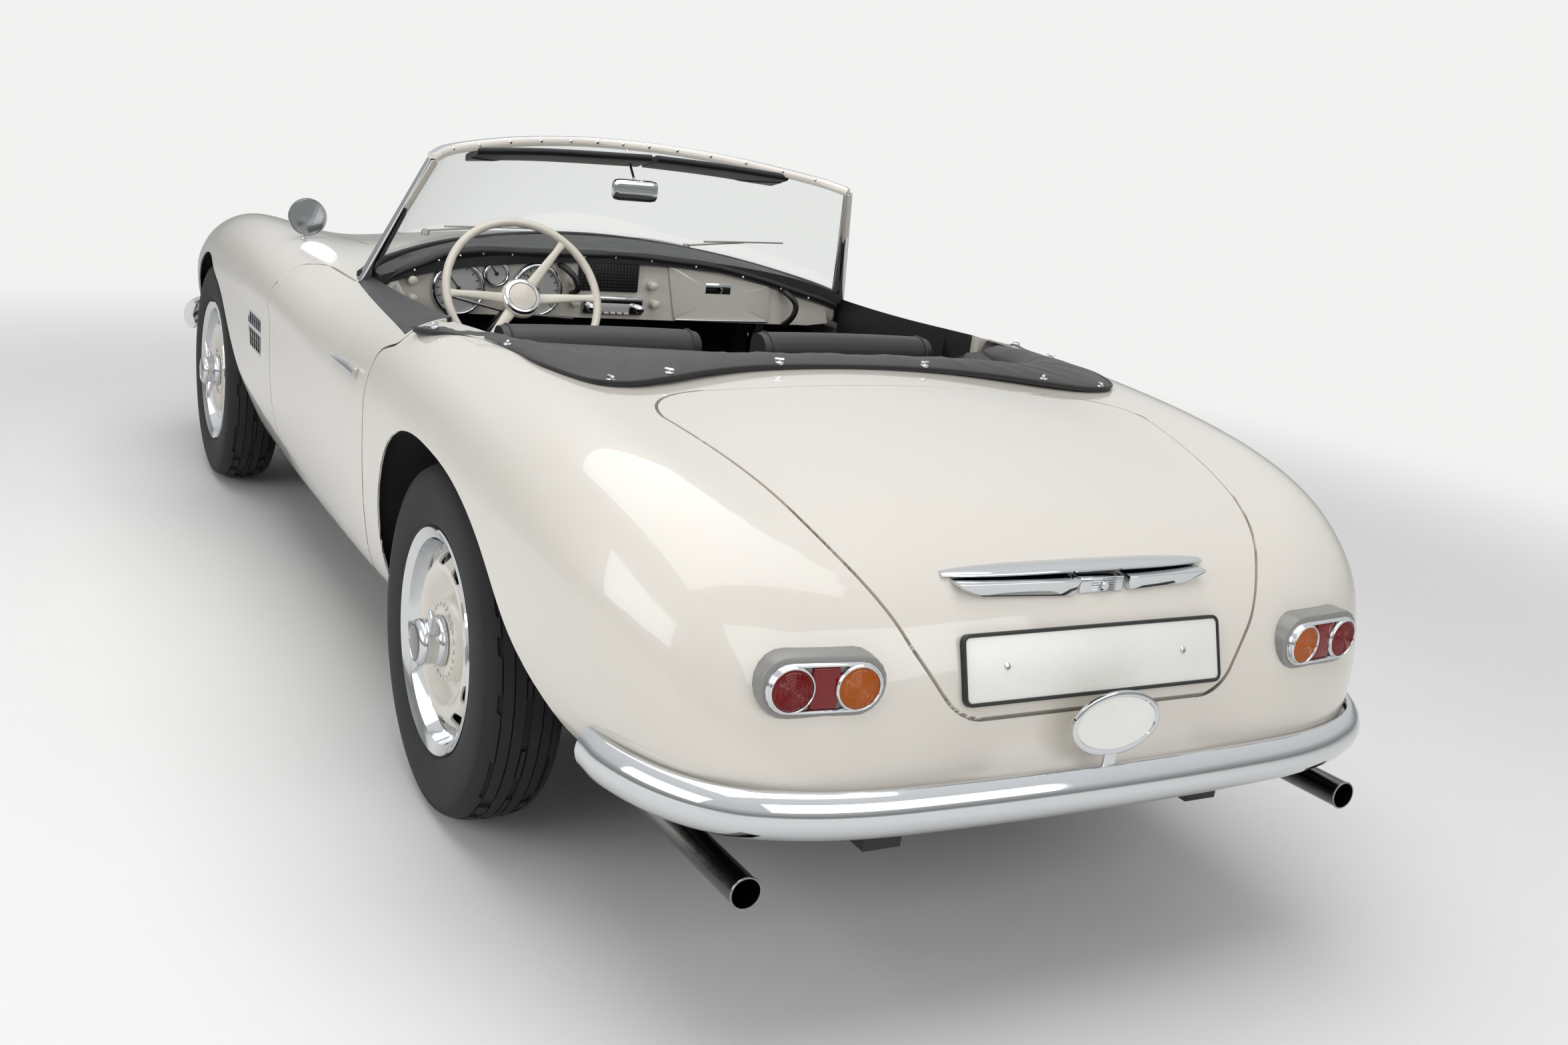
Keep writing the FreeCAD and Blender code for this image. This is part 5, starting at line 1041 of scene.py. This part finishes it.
def makeBadge():
    s = badgeSettings
    c = Vector(s["centre"])

    def oval(wide, tall, depth):
        turns = [2 * math.pi * i / s["steps"] for i in range(s["steps"])]
        return [c + Vector((-depth, math.cos(turn) * wide, math.sin(turn) * tall)) for turn in turns]

    rows = [oval(s["wide"] + grow, s["tall"] + grow, depth)
            for grow, depth in ((0, -2.5), (0, 2.5), (-3, 4.0), (-8, 4.0), (-10, 2.0), (-10, -2.5))]
    rim = skin(rows + [rows[0]], True, False, 40.0)
    dress(rim, "badge_rim", chromePlate, "body", ("oval_badge",))
    rows = [oval(s["wide"] * share, s["tall"] * share, depth)
            for share, depth in ((0.89, -2.0), (0.89, 1.6), (0.5, 2.1), (0.05, 2.3))]
    dress(skin(rows), "badge_blank", plateWhite)
    stalk = block(c + Vector((-3, -12, -s["tall"] - 26)), c + Vector((5, 12, -s["tall"] + 8)), 2.0)
    dress(stalk, "badge_stalk", chromePlate)


makeBadge()
print("plate, handle and badge made")

# folded hood under its fitted cover: a padded band that runs round behind the seats, with a well inside it
coverSettings = {
    "outer": [(372, 750, 886), (332, 752, 889), (208, 694, 899), (37, 658, 908), (-100, 646, 911),
              (-212, 600, 908), (-232, 530, 907), (-206, 440, 911), (-166, 335, 917), (-136, 200, 922),
              (-128, 0, 924)],
    "inner": [(368, 706, 884), (326, 650, 880), (206, 588, 886), (66, 548, 892), (0, 500, 904),
              (-20, 450, 914), (-30, 400, 920), (-34, 340, 924), (-34, 270, 926), (-34, 160, 926),
              (-34, 0, 926)],
    "rise": [6, 14, 20, 24, 22, 18, 16, 16, 15, 14, 14], "wellFloor": 800.0, "steps": 8,
    "buttons": [(300, 726, 903), (70, 652, 915), (-222, 560, 911), (-190, 432, 919), (-128, 170, 930)],
    "firstTurn": 35, "turnStep": 31}


def coverRing(name):
    return acrossCar([spot(*place) for place in coverSettings[name]], coverSettings["steps"])


def makeCover():
    s = coverSettings
    outer, inner = coverRing("outer"), coverRing("inner")
    half = len(s["rise"]) - 1
    rows = []
    for i, (o, n) in enumerate(zip(outer, inner)):
        place = i / s["steps"]
        place = place if place <= half else 2 * half - place
        low = min(int(place), half - 1)
        rise = s["rise"][low] + (s["rise"][low + 1] - s["rise"][low]) * (place - low)
        ripple = 1.2 * math.sin(i * 0.9) + 0.8 * math.sin(i * 2.3 + 1)
        row = [n + Vector((0, 0, -40)), n + Vector((0, 0, -12)), n + Vector((0, 0, 2))]
        for share, lift in ((0.12, 0.55), (0.3, 0.95 + 0.03 * ripple), (0.5, 1.0), (0.68, 0.86), (0.84, 0.62),
                            (0.95, 0.42)):
            row.append(n.lerp(o, share) + Vector((0, 0, rise * lift + ripple * (1 - abs(share - 0.5) * 2))))
        row += [o + Vector((0, 0, 4)), o + Vector((0, 0, 1)), o + Vector((0, 0, -4))]
        rows.append(row)
    cover = skin(rows, True, True, 50.0)
    dress(cover, "hood_cover_band", hoodHide, "body", ("hood_cover",))
    hem = [p + Vector((0, 0, 4.5)) for p in outer[4:-4]]
    dress(tube(hem, 3.0, 2), "hood_cover_hem", hoodHide)
    ring = inner[6:-6]
    count = len(ring)
    ring = ring + [ring[-1].lerp(ring[0], k / 8) for k in range(1, 8)]
    centre = Vector((ring[0].x * 0.5 + inner[80].x * 0.5, 0, 0))
    rows = []
    for share, z in ((1.0, -4), (0.90, -6), (0.86, -40), (0.84, None), (0.3, None)):
        rows.append([Vector((centre.x + (p.x - centre.x) * share, p.y * share, p.z + z if z is not None
                             and k < count else s["wellFloor"])) for k, p in enumerate(ring)])
    dress(skin(rows, True, True, 60.0), "hood_well_lining", carpet)
    post = [(9, -2), (9, 2), (7.5, 3.6), (3, 4.2), (3, 7.0), (0, 7.4)]
    stud = joined([lathe(post, (0, 0, 0), (0, 0, 1), 20, 40.0), block((-3, -10, 6), (3, 10, 10.5), 2.4)])
    near = s["buttons"]
    for k, (x, y, z) in enumerate(near + [(x, -y, z) for x, y, z in near[::-1]]):
        turn = Matrix.Rotation(math.radians(s["firstTurn"] + k * s["turnStep"]), 4, "Z")
        piece = moved(copied(stud), spot(x, y, z), turn)
        dress(piece, "cover_button_%d" % k, chromePlate)
    bpy.data.objects.remove(stud)


# leather seats: a padded cushion, a padded back with sewn flutes and a roll along its top
seatSettings = {"middle": 314.0, "half": 216.0, "rollHalf": 232.0, "voxel": 6.0, "cap": 14.0, "pressure": 4.0,
                "clothFrames": 20, "seams": 4, "seamStep": 46.0}


def puff(piece):
    s = seatSettings
    only(piece)
    piece.data.remesh_voxel_size = s["voxel"] * mm
    bpy.ops.object.voxel_remesh()
    rest = [vertex.co.copy() for vertex in piece.data.vertices]
    cloth = piece.modifiers.new("cloth", "CLOTH")
    cloth.settings.use_pressure = True
    cloth.settings.uniform_pressure_force = s["pressure"]
    cloth.settings.effector_weights.gravity = 0
    for frameNumber in range(1, s["clothFrames"] + 1):
        bpy.context.scene.frame_set(frameNumber)
    bpy.ops.object.modifier_apply(modifier="cloth")
    cap = s["cap"] * mm
    for vertex, start in zip(piece.data.vertices, rest):
        shift = vertex.co - start
        if shift.length > cap:
            vertex.co = start + shift * (cap / shift.length)
    bpy.context.scene.frame_set(1)
    bpy.ops.object.shade_smooth()
    return piece


# a crowned pad: rings from its left end to its right one, pulled in towards the ends
def pad(centre, half, outline, crown=6.0, pinch=0.9):
    rows = []
    for k in range(-12, 13):
        share = k / 12
        grow = pinch + (1 - pinch) * (1 - abs(share) ** 5) ** 0.5
        lift = crown * (1 - share * share)
        rows.append([centre + Vector((x * grow, half * share, z * grow))
                     + Vector((0, 0, lift if z > 0 else 0)) for x, z in outline])
    for end in (0, -1):
        middle = sum(rows[end], Vector((0, 0, 0))) / len(rows[end])
        rows[end] = [middle.lerp(p, 0.86) for p in rows[end]]
    return skin(rows, True, True, 60.0)


def makeSeats():
    s = seatSettings
    forms = [("cushion", spot(700, s["middle"], 400), rounded(218, 66, 50, -0.05)),
             ("back", spot(440, s["middle"], 620), rounded(48, 190, 42, -0.16))]
    for name, centre, outline in forms:
        piece = puff(pad(centre, s["half"], outline))
        other = mirrored(piece)
        for side, form in (("left", piece), ("right", other)):
            dress(form, "seat_%s_%s" % (name, side), blackHide, "body",
                  ("seat_" + side,) if name == "cushion" else ())
    rows = []
    section = [(-46, -6), (-40, 12), (-22, 26), (2, 30), (24, 25), (37, 10), (40, -12), (36, -40), (20, -62),
               (-12, -70), (-36, -60), (-46, -34)]
    fair = fairLine([Vector((x, 0, z)) for x, z in section], 4, True)
    for k in range(-14, 15):
        share = k / 14
        grow = 1.0 if abs(share) < 0.9 else 1.0 - 0.10 * ((abs(share) - 0.9) * 10) ** 2
        droop = -3.0 * share * share
        rows.append([spot(434, s["middle"] + share * s["rollHalf"], 862 + droop) + p * grow for p in fair])
    roll = skin(rows, True, True, 50.0)
    dressBoth(roll, "seat_roll", blackHide)
    for edge in (-1, 1):
        seam = [spot(434, s["middle"] + edge * 214, 859.5) + p * 1.006 for p in fair]
        dressBoth(tube(seam + [seam[0]], 2.6, 2), "seat_roll_piping_%d" % (edge + 1), blackHide)
    section = ((830, 0), (700, 2), (480, 8), (300, 12), (300, 36), (480, 34), (700, 30), (830, 30))
    rows = []
    for k in range(-8, 9):
        y = s["middle"] + k / 8 * (s["rollHalf"] - (10 if abs(k) == 8 else 0))
        rows.append([spot(384 - 0.13 * (z - 830), y, z) + Vector((depth, 0, 0)) for z, depth in section])
    shell = skin(rows, True, True, 40.0)
    dressBoth(shell, "seat_back_shell", blackHide)
    for k in range(-s["seams"], s["seams"] + 1):
        y = s["middle"] + k * s["seamStep"]
        line = [spot(492 - 0.16 * (z - 620), y, z) for z in (456, 540, 620, 700, 780)]
        dressBoth(tube(line, 1.5, 2), "seat_seam_%d" % (k + s["seams"]), blackHide)


makeCover()
makeSeats()
print("hood cover and seats made")

# instrument panel on the near side, its padded top, gauges, radio and fittings
dashSettings = {
    "face": 1036.0, "ceiling": 984.0,
    "gauges": [(453.0, 871.0, 67.0, 12), (357.0, 911.0, 33.0, 6), (248.0, 875.0, 67.0, 12)],
    "top": [(640, 880), (603, 905), (533, 936), (487, 956), (425, 966), (366, 970), (275, 970), (180, 972),
            (80, 975), (4, 976), (-126, 968), (-251, 958), (-405, 928), (-492, 906), (-586, 884),
            (-640, 868)],
    "knobs": [(-68, 899), (-79, 851), (151, 899), (145, 847), (572, 887), (569, 842), (-30, 837), (105, 837)],
    "ivoryKnobs": 6, "uprights": 18, "barStep": 9.2, "wires": 9, "wireStep": 8.4}


def onDash(x, y, z):
    return spot(dashSettings["face"] + x, y, z)


def makeGauge(name, y, z, r, marks):
    toRear = Vector((-1, 0, 0))
    centre = onDash(0, y, z)
    rim = [(r - 8, 0), (r, 0), (r + 1.5, 3), (r + 1, 7), (r - 2, 11), (r - 5, 12), (r - 8, 9), (r - 9, 5)]
    dress(lathe(rim, centre, toRear, 64, 40.0), name + "_bezel", chromePlate)
    face = [(0, -2), (r - 7, -2), (r - 7, 3.0), (0, 3.2)]
    dress(lathe(face, centre, toRear, 64, 30.0), name + "_face", silverDial)
    strokes = []
    count = marks * 4
    for i in range(count + 1):
        a = math.radians(-225 + 270 * i / count)
        long, wide = (0.16, 1.1) if i % 4 == 0 else (0.08, 0.5)
        mark = block((-4.2, -wide, r * (0.86 - long)), (-3.0, wide, r * 0.86), 0, 1)
        mark.data.transform(Matrix.Translation(centre * mm) @ Matrix.Rotation(a + math.radians(90), 4, "X"))
        strokes.append(mark)
    needle = block((-6.0, -1.3, -r * 0.16), (-4.6, 1.3, r * 0.72), 0.5, 2)
    needle.data.transform(Matrix.Translation(centre * mm) @ Matrix.Rotation(math.radians(-38), 4, "X"))
    strokes.append(needle)
    strokes.append(lathe([(0, 3), (5, 3), (5, 6), (3.5, 7.5), (0, 7.8)], centre, toRear, 20, 30.0))
    dress(joined(strokes), name + "_marks", blackMoulding)


def makeDash():
    s = dashSettings
    for k, (y, z, radius, marks) in enumerate(s["gauges"]):
        makeGauge("gauge_%d" % k, y, z, radius, marks)
    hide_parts("instruments")
    line = fairLine([onDash(-2, y, z) for y, z in s["top"]], 4)
    section = ((8, -15), (-6, -14), (-14, -8), (-16, 0), (-12, 7), (0, 10), (26, 9), (60, 6), (95, 0),
               (95, -12), (40, -14))
    rows = []
    for p in line:
        low = min(1.0, max(0.0, (650 - abs(p.y)) / 120))
        rows.append([p + Vector((x * (0.6 + 0.4 * low), 0, z)) for x, z in section])
    rows = [[Vector((q.x, q.y, min(q.z, s["ceiling"]))) for q in row] for row in rows]
    roll = skin(rows, True, True, 50.0)
    dress(roll, "dash_roll", blackHide)
    tops = []
    for p in line[6:-6:4]:
        tops.append(lathe([(0, 2.4), (2.4, 1.8), (3.4, 0.3), (3.4, -1)], p + Vector((-15.0, 0, -9.0)),
                          (-1, 0, 0.2), 10, 50.0))
    dress(joined(tops), "dash_roll_studs", chromePlate)
    back = block(onDash(-6, -30, 878), onDash(1, 138, 962), 4.0, 3)
    bars = []
    for y in [-26 + k * s["barStep"] for k in range(s["uprights"])]:
        bars.append(block(onDash(-9, y, 882), onDash(-4, y + 3, 958), 1.0, 2))
    for z in [884 + k * s["wireStep"] for k in range(s["wires"])]:
        bars.append(block(onDash(-8.5, -28, z), onDash(-4.5, 136, z + 2.4), 1.0, 2))
    dress(back, "speaker_back", blackMoulding)
    dress(joined(bars), "speaker_mesh", blackMoulding)
    face = block(onDash(-9, -47, 819), onDash(1, 122, 866), 4.0, 3)
    dress(face, "radio_face", chromePlate, "body", ("dash_fittings",))
    scale = block(onDash(-11, -8, 826), onDash(-7, 84, 848), 1.5, 2)
    dress(scale, "radio_scale", silverDial)
    keys = [block(onDash(-16, -6 + k * 19, 821), onDash(-8, 8 + k * 19, 826), 1.2, 2) for k in range(5)]
    dress(joined(keys), "radio_keys", ivoryPlastic)
    turned = [(0, 0), (11, 0), (11, 3), (7, 5), (6.5, 12), (10, 14), (11.5, 18), (11, 23), (8, 25.5),
              (0, 26.5)]
    knob = lathe(turned, (0, 0, 0), (-1, 0, 0), 28, 40.0)
    for k, (y, z) in enumerate(s["knobs"]):
        ivory = k < s["ivoryKnobs"]
        piece = moved(copied(knob), onDash(0 if ivory else -8, y, z))
        dress(piece, "dash_knob_%d" % k, ivoryPlastic if ivory else chromePlate)
    bpy.data.objects.remove(knob)
    corners = [(-113, 961), (-423, 918), (-430, 821), (-143, 818)]
    middle = Vector((sum(c[0] for c in corners) / 4, sum(c[1] for c in corners) / 4))
    rows = []
    for share, x in ((1.0, 1.0), (1.0, -2.0), (0.985, -3.2), (0.3, -3.2)):
        ring = []
        for i in range(4):
            a = Vector(corners[i])
            b = Vector(corners[(i + 1) % 4])
            z = Vector(corners[(i - 1) % 4])
            for k in range(5):
                t = k / 4
                p = (a.lerp(z, 0.05) * (1 - t) + a * t).lerp(a * (1 - t) + a.lerp(b, 0.05) * t, t)
                p = middle + (p - middle) * share
                ring.append(onDash(x, p.x, p.y - 6))
        rows.append(ring)
    dress(skin(rows, True, True, 40.0), "glovebox_lid", ivoryEnamel)
    cup = block(onDash(-4.2, -303, 884), onDash(-2.8, -228, 912), 0.6, 2)
    dress(cup, "glovebox_pull", chromePlate)
    strip = tube([onDash(-4, y, 813 + (y + 430) * -0.01) for y in (-428, -280, -146)], 3.0, 3)
    dress(strip, "glovebox_hinge", chromePlate)
    far = [(0, -460, 904), (-34, -468, 896), (-44, -494, 868), (-38, -484, 826), (0, -481, 806)]
    close = [(0, 190, 942), (-30, 172, 930), (-42, 152, 902), (-36, 150, 878), (0, 152, 869)]
    for name, points in (("far", far), ("near", close)):
        grip = tube([onDash(*p) for p in points], 8.0, 4)
        dress(grip, "grab_handle_" + name, blackMoulding, "body",
              ("grab_handles",) if name == "far" else ())


makeDash()
print("instrument panel made")

# steering wheel: ridged ivory rim, four spokes and a hub ring
wheelHandSettings = {"hub": (864.0, 346.0, 882.0), "lift": 8.0, "radius": 190.0, "grip": 10.5, "rake": 31.0,
                     "spokes": (0.0, 180.0, 130.0, 310.0), "boss": 44.0}


def makeSteeringWheel():
    s = wheelHandSettings
    hub = spot(*s["hub"])
    rake = math.radians(s["rake"])
    axis = Vector((-math.cos(rake), 0, math.sin(rake)))
    side = Vector((0, 1, 0))
    up = side.cross(axis)
    centre = hub + axis * s["lift"]
    rows = []
    count = 144
    for i in range(count):
        a = 2 * math.pi * i / count
        out = side * math.cos(a) + up * math.sin(a)
        ring = []
        for k in range(14):
            b = 2 * math.pi * k / 14
            under = max(0.0, math.cos(b - math.radians(200)))
            grip = s["grip"] * (1 - 0.10 * (0.5 + 0.5 * math.cos(a * 36)) * under)
            ring.append(centre + out * (s["radius"] + math.cos(b) * grip) + axis * (math.sin(b) * grip))
        rows.append(ring)
    parts = [skin(rows + [rows[0]], True, False, 60.0)]
    for angle in s["spokes"]:
        a = math.radians(angle)
        out = side * math.cos(a) + up * math.sin(a)
        across = out.cross(axis)
        rows = []
        for share in [k / 10 for k in range(11)]:
            wide = 15.0 - 8.0 * share + 6.0 * max(0.0, share - 0.85) * 6
            thick = 7.0 - 2.0 * share
            place = centre + out * (28 + (s["radius"] - 30) * share) - axis * (26 * (1 - share) ** 1.6)
            rows.append([place + across * (math.cos(b) * wide) + axis * (math.sin(b) * thick)
                         for b in [2 * math.pi * k / 14 for k in range(14)]])
        parts.append(skin(rows, True, True, 50.0))
    r = s["boss"]
    parts.append(lathe([(0, -46), (26, -46), (40, -38), (r + 6, -22), (r + 4, -12), (r - 4, -9), (0, -9)],
                       centre, axis, 48, 35.0))
    dress(joined(parts), "steering_rim_and_spokes", ivoryPlastic, "steering_wheel", ("steering_wheel",))
    ring = lathe([(r - 10, -12), (r + 1, -12), (r + 2, -7), (r - 2, -3), (r - 8, -2), (r - 10, -5)],
                 centre, axis, 48, 40.0)
    dress(ring, "horn_ring", chromePlate, "steering_wheel")
    cap = lathe([(0, -10), (r - 10, -10), (r - 10.5, -4), (20, -0.5), (0, 0.5)], centre, axis, 48, 35.0)
    dress(cap, "horn_push", ivoryPlastic, "steering_wheel")


makeSteeringWheel()
print("steering wheel made")

# windscreen: bent glass in a slim frame, header rail with studs, visors folded up, mirrors and wipers
screenSettings = {
    "base": [(1092, 679, 890), (1190, 600, 914), (1300, 420, 949), (1365, 200, 973), (1385, 0, 981)],
    "top": [(923, 569, 1189), (1000, 500, 1207), (1085, 330, 1230), (1140, 150, 1243), (1155, 0, 1246)]}


def screenLine(name):
    return acrossCar([spot(*place) for place in screenSettings[name]], 6)


def makeScreen():
    base, top = screenLine("base"), screenLine("top")
    rows = []
    for low, high in zip(base, top):
        middle = low.lerp(high, 0.5) + Vector((8, 0, 0))
        bulge = Vector((2, 0, 0))
        ring = [low, low.lerp(middle, 0.5) + bulge, middle, middle.lerp(high, 0.5) + bulge, high]
        rows.append(ring + [p + Vector((5, 0, 1)) for p in ring[::-1]])
    dress(skin(rows, True, True, 40.0), "screen_pane", screenGlass, "body", ("windscreen_glass",))
    header = [(12, -9), (14, 0), (9, 9), (0, 11), (-9, 9), (-13, 0), (-11, -9), (0, -12)]
    piece = sweep(top, header, 50.0)
    dress(piece, "screen_header", ivoryEnamel, "body", ("windscreen_frame",))
    strip = sweep([p + Vector((6, 0, 10)) for p in top],
                  [(7, -4), (8, 0), (4, 3), (-6, 3), (-9, 0), (-9, -4)], 50.0)
    dress(strip, "header_strip", chromePlate)
    gasket = sweep(base, [(13, -12), (12, 1), (5, 7), (-5, 7), (-12, 1), (-13, -12)], 60.0)
    dress(gasket, "screen_gasket", blackMoulding)
    low, high = base[0], top[0]
    rows = []
    for share in (0.0, 0.25, 0.5, 0.75, 1.0):
        size = 1.2 - 0.45 * share
        centre = low.lerp(high, share) + Vector((0, 0, -30 * (1 - share)))
        rows.append([centre + Vector((a * size, b * size, 0)) for a, b in rounded(17, 12, 8)])
    dressBoth(skin(rows, True, True, 50.0), "screen_post", chromePlate)
    rows = []
    for share in (0.04, 0.3, 0.6, 0.97):
        centre = low.lerp(high, share) + Vector((-19 + 5 * share, -6, 0))
        rows.append([centre + Vector((a, b, 0)) for a, b in rounded(6, 9, 4)])
    dressBoth(skin(rows, True, True, 50.0), "post_lining", ivoryEnamel)
    head = [(0, 3), (3, 2.4), (4.5, 0.5), (4.5, -1)]
    studs = [lathe(head, p + Vector((-13.5, 0, 3)), (-1, 0, 0.15), 12, 50.0) for p in top[3:-3:3]]
    dress(joined(studs), "header_studs", chromePlate)
    for name, points in (("left", [(1078, 426, 1196), (1092, 230, 1208), (1100, -45, 1214)]),
                         ("right", [(1100, -62, 1214), (1092, -240, 1208), (1078, -440, 1196)])):
        rows = [[spot(x, y, z) + Vector((a, 0, b - 0.25 * a)) for a, b in rounded(52, 9, 8)]
                for x, y, z in fairLine(points, 8)]
        piece = skin(rows, True, True, 60.0)
        dress(piece, "sun_visor_" + name, blackHide, "body", ("sun_visors",) if name == "left" else ())
    rows = [[spot(1062, -10 + y, 1139) + Vector((x, 0, z)) for x, z in rounded(9, tall, 8)]
            for y, tall in ((-61, 20), (-57, 25), (-45, 27.5), (45, 27.5), (57, 25), (61, 20))]
    dress(skin(rows, True, True, 50.0), "cabin_mirror_shell", chromePlate, "body", ("interior_mirror",))
    dress(tube([spot(1066, -10, 1160), spot(1090, -6, 1190), spot(1120, -2, 1236)], 3.6, 3),
          "cabin_mirror_arm", chromePlate)
    for name, y in (("left", 430.0), ("right", -350.0)):
        pivot = spot(1428 if y > 0 else 1440, y, 951)
        parts = [lathe([(0, 0), (11, 0), (11, 10), (7, 16), (0, 17)], pivot, (0, 0, 1), 20, 40.0)]
        for radius, places in ((3.2, ((0, 0, 12), (-20, -60, 22), (-34, -170, 34))),
                               (2.6, ((-36, -40, 30), (-38, -170, 36), (-40, -300, 40)))):
            parts.append(tube([pivot + Vector(place) for place in places], radius))
        dress(joined(parts), "wiper_" + name, dullSteel, "body", ("wipers",) if name == "left" else ())


def makeWingMirror():
    head = spot(1761, 668, 940)
    toRear = Vector((-1, 0.12, 0.05)).normalized()
    shell = lathe([(0, -44), (16, -42), (32, -34), (45, -18), (51, -4), (52.5, 2), (51, 5), (48.5, 5),
                   (47.5, 2), (0, 2)], head, toRear, 48, 40.0)
    arm = tube([head + Vector((18, 0, -34)), head + Vector((10, 6, -58)), spot(1763, 684, 868),
                spot(1763, 686, 850)], 7.0, 4)
    foot = lathe([(0, 0), (22, 0), (20, 5), (10, 9), (8, 20), (0, 20)], spot(1763, 684, 858),
                 (0, 0.35, 1), 28, 40.0)
    dress(joined([shell, arm, foot]), "wing_mirror", chromePlate, "body", ("exterior_mirror",))
    face = lathe([(0, 1), (47, 1), (47, 3), (0, 3.4)], head, toRear, 48, 30.0)
    dress(face, "wing_mirror_face", chromePlate)


makeScreen()
makeWingMirror()

# side vents behind a dark mesh
ventSettings = {"slats": 5, "low": 578.0, "step": 18, "thick": 5.0, "rear": 560.0, "front": 712.0,
                "inner": 796.0, "outer": 806.0}


def makeVents():
    s = ventSettings
    slats = []
    for k in range(s["slats"]):
        z = s["low"] + k * s["step"]
        slats.append(block((s["rear"], s["inner"], z), (s["front"], s["outer"], z + s["thick"]), 1.5, 2))
    dressBoth(block((s["rear"] - 4, 790.0, 572.0), (s["front"] + 4, 801.0, 656.0), 2.0, 2),
              "vent_panel", blackMoulding)
    dressBoth(joined(slats), "vent_slats", blackMoulding)


makeVents()
print("fittings made")

# camera at the photographed angle
viewSettings = {"place": (-3.8609, 1.6410, 1.4553), "yaw": -30.12, "pitch": -15.66, "roll": 6.85,
                "lens": 35.89}


def makeCamera():
    s = viewSettings
    yaw = math.radians(s["yaw"])
    pitch = math.radians(s["pitch"])
    roll = math.radians(s["roll"])
    ahead = Vector((math.cos(yaw) * math.cos(pitch), math.sin(yaw) * math.cos(pitch), math.sin(pitch)))
    right = ahead.cross(Vector((0, 0, 1))).normalized()
    up = right.cross(ahead)
    across = right * math.cos(roll) + up * math.sin(roll)
    upward = up * math.cos(roll) - right * math.sin(roll)
    bpy.ops.object.camera_add()
    camera = bpy.context.object
    camera.data.sensor_width = 36
    camera.data.lens = s["lens"]
    camera.matrix_world = Matrix.Translation(s["place"]) @ Matrix((across, upward,
                                                                   -ahead)).transposed().to_4x4()
    bpy.context.scene.camera = camera


# the rays that look at the stage itself, straight or through glass
def sightRays(tree):
    rays = addNode(tree, "ShaderNodeLightPath")
    direct = addNode(tree, "ShaderNodeMath", {"operation": "MAXIMUM"},
                     {0: rays.outputs["Is Camera Ray"], 1: rays.outputs["Is Transmission Ray"]})
    return rays, direct.outputs[0]


# a pale floor that fades into an even background, three area lights and a graded sky for the reflections
def makeStage():
    bpy.ops.mesh.primitive_plane_add(size=60)
    floor = bpy.context.object
    floor.name = "floor"
    material, tree, where = newMaterial("paleFloor")
    speck = addNode(tree, "ShaderNodeTexNoise", {"Scale": 3.0, "Detail": 4.0}, {"Vector": where})
    closeMaterial(tree, {"Roughness": 0.85},
                  {"Base Color": mixTones(tree, speck.outputs["Fac"], "#F4F4F3", "#F0F0EF")})
    surface = [n for n in tree.nodes if n.type == "BSDF_PRINCIPLED"][0]
    output = [n for n in tree.nodes if n.type == "OUTPUT_MATERIAL"][0]
    reach = addNode(tree, "ShaderNodeVectorMath", {"operation": "LENGTH"}, {0: where})
    fade = addNode(tree, "ShaderNodeMapRange", {"interpolation_type": "SMOOTHSTEP", "From Min": 2.6,
                                                "From Max": 5.5},
                   {"Value": reach.outputs["Value"]})
    plain = addNode(tree, "ShaderNodeEmission", {"Color": colour("#F2F2F1"), "Strength": 1.0})
    rays, direct = sightRays(tree)
    seen = addNode(tree, "ShaderNodeMath", {"operation": "MULTIPLY"},
                   {0: fade.outputs["Result"], 1: direct})
    blend = addNode(tree, "ShaderNodeMixShader", None,
                    {0: seen.outputs[0], 1: surface.outputs[0], 2: plain.outputs[0]})
    tree.links.new(blend.outputs[0], output.inputs["Surface"])
    floor.data.materials.append(material)
    lights = {"overhead": ((-0.5, 0.5, 5.2), (0, 0, 0), 7.0, 5.0, 190.0),
              "leftWall": ((-2.5, 6.5, 3.0), (-62, 0, 0), 6.0, 3.0, 130.0),
              "tailWall": ((-7.0, -1.0, 3.2), (0, -62, 0), 3.0, 6.0, 110.0)}
    for name, (place, turn, sizeX, sizeY, power) in lights.items():
        bpy.ops.object.light_add(type="AREA", location=place, rotation=[math.radians(a) for a in turn])
        light = bpy.context.object
        light.name = name
        light.data.shape = "RECTANGLE"
        light.data.size = sizeX
        light.data.size_y = sizeY
        light.data.energy = power
    world = bpy.data.worlds.new("studio")
    bpy.context.scene.world = world
    world.use_nodes = True
    tree = world.node_tree
    tree.nodes.clear()
    where = addNode(tree, "ShaderNodeTexCoord")
    height = addNode(tree, "ShaderNodeSeparateXYZ", None, {"Vector": where.outputs["Generated"]})
    ramp = addNode(tree, "ShaderNodeValToRGB", None, {"Fac": height.outputs["Z"]})
    steps = [(0.0, "#8F918F"), (0.10, "#A9ABAA"), (0.28, "#DADCDD"), (1.0, "#F4F5F6")]
    while len(ramp.color_ramp.elements) < len(steps):
        ramp.color_ramp.elements.new(1.0)
    for element, (place, tone) in zip(ramp.color_ramp.elements, steps):
        element.position = place
        element.color = colour(tone)
    rays, direct = sightRays(tree)
    plain = mixTones(tree, direct, "#9A9B9C", "#F2F2F1")
    look = addNode(tree, "ShaderNodeMix", {"data_type": "RGBA"},
                   {0: rays.outputs["Is Glossy Ray"], 6: plain, 7: ramp.outputs["Color"]})
    back = addNode(tree, "ShaderNodeBackground", {"Strength": 1.0}, {"Color": look.outputs[2]})
    addNode(tree, "ShaderNodeOutputWorld", None, {"Surface": back.outputs["Background"]})
    bpy.context.scene.view_settings.view_transform = "Standard"


makeCamera()
makeStage()
print("camera and light set")
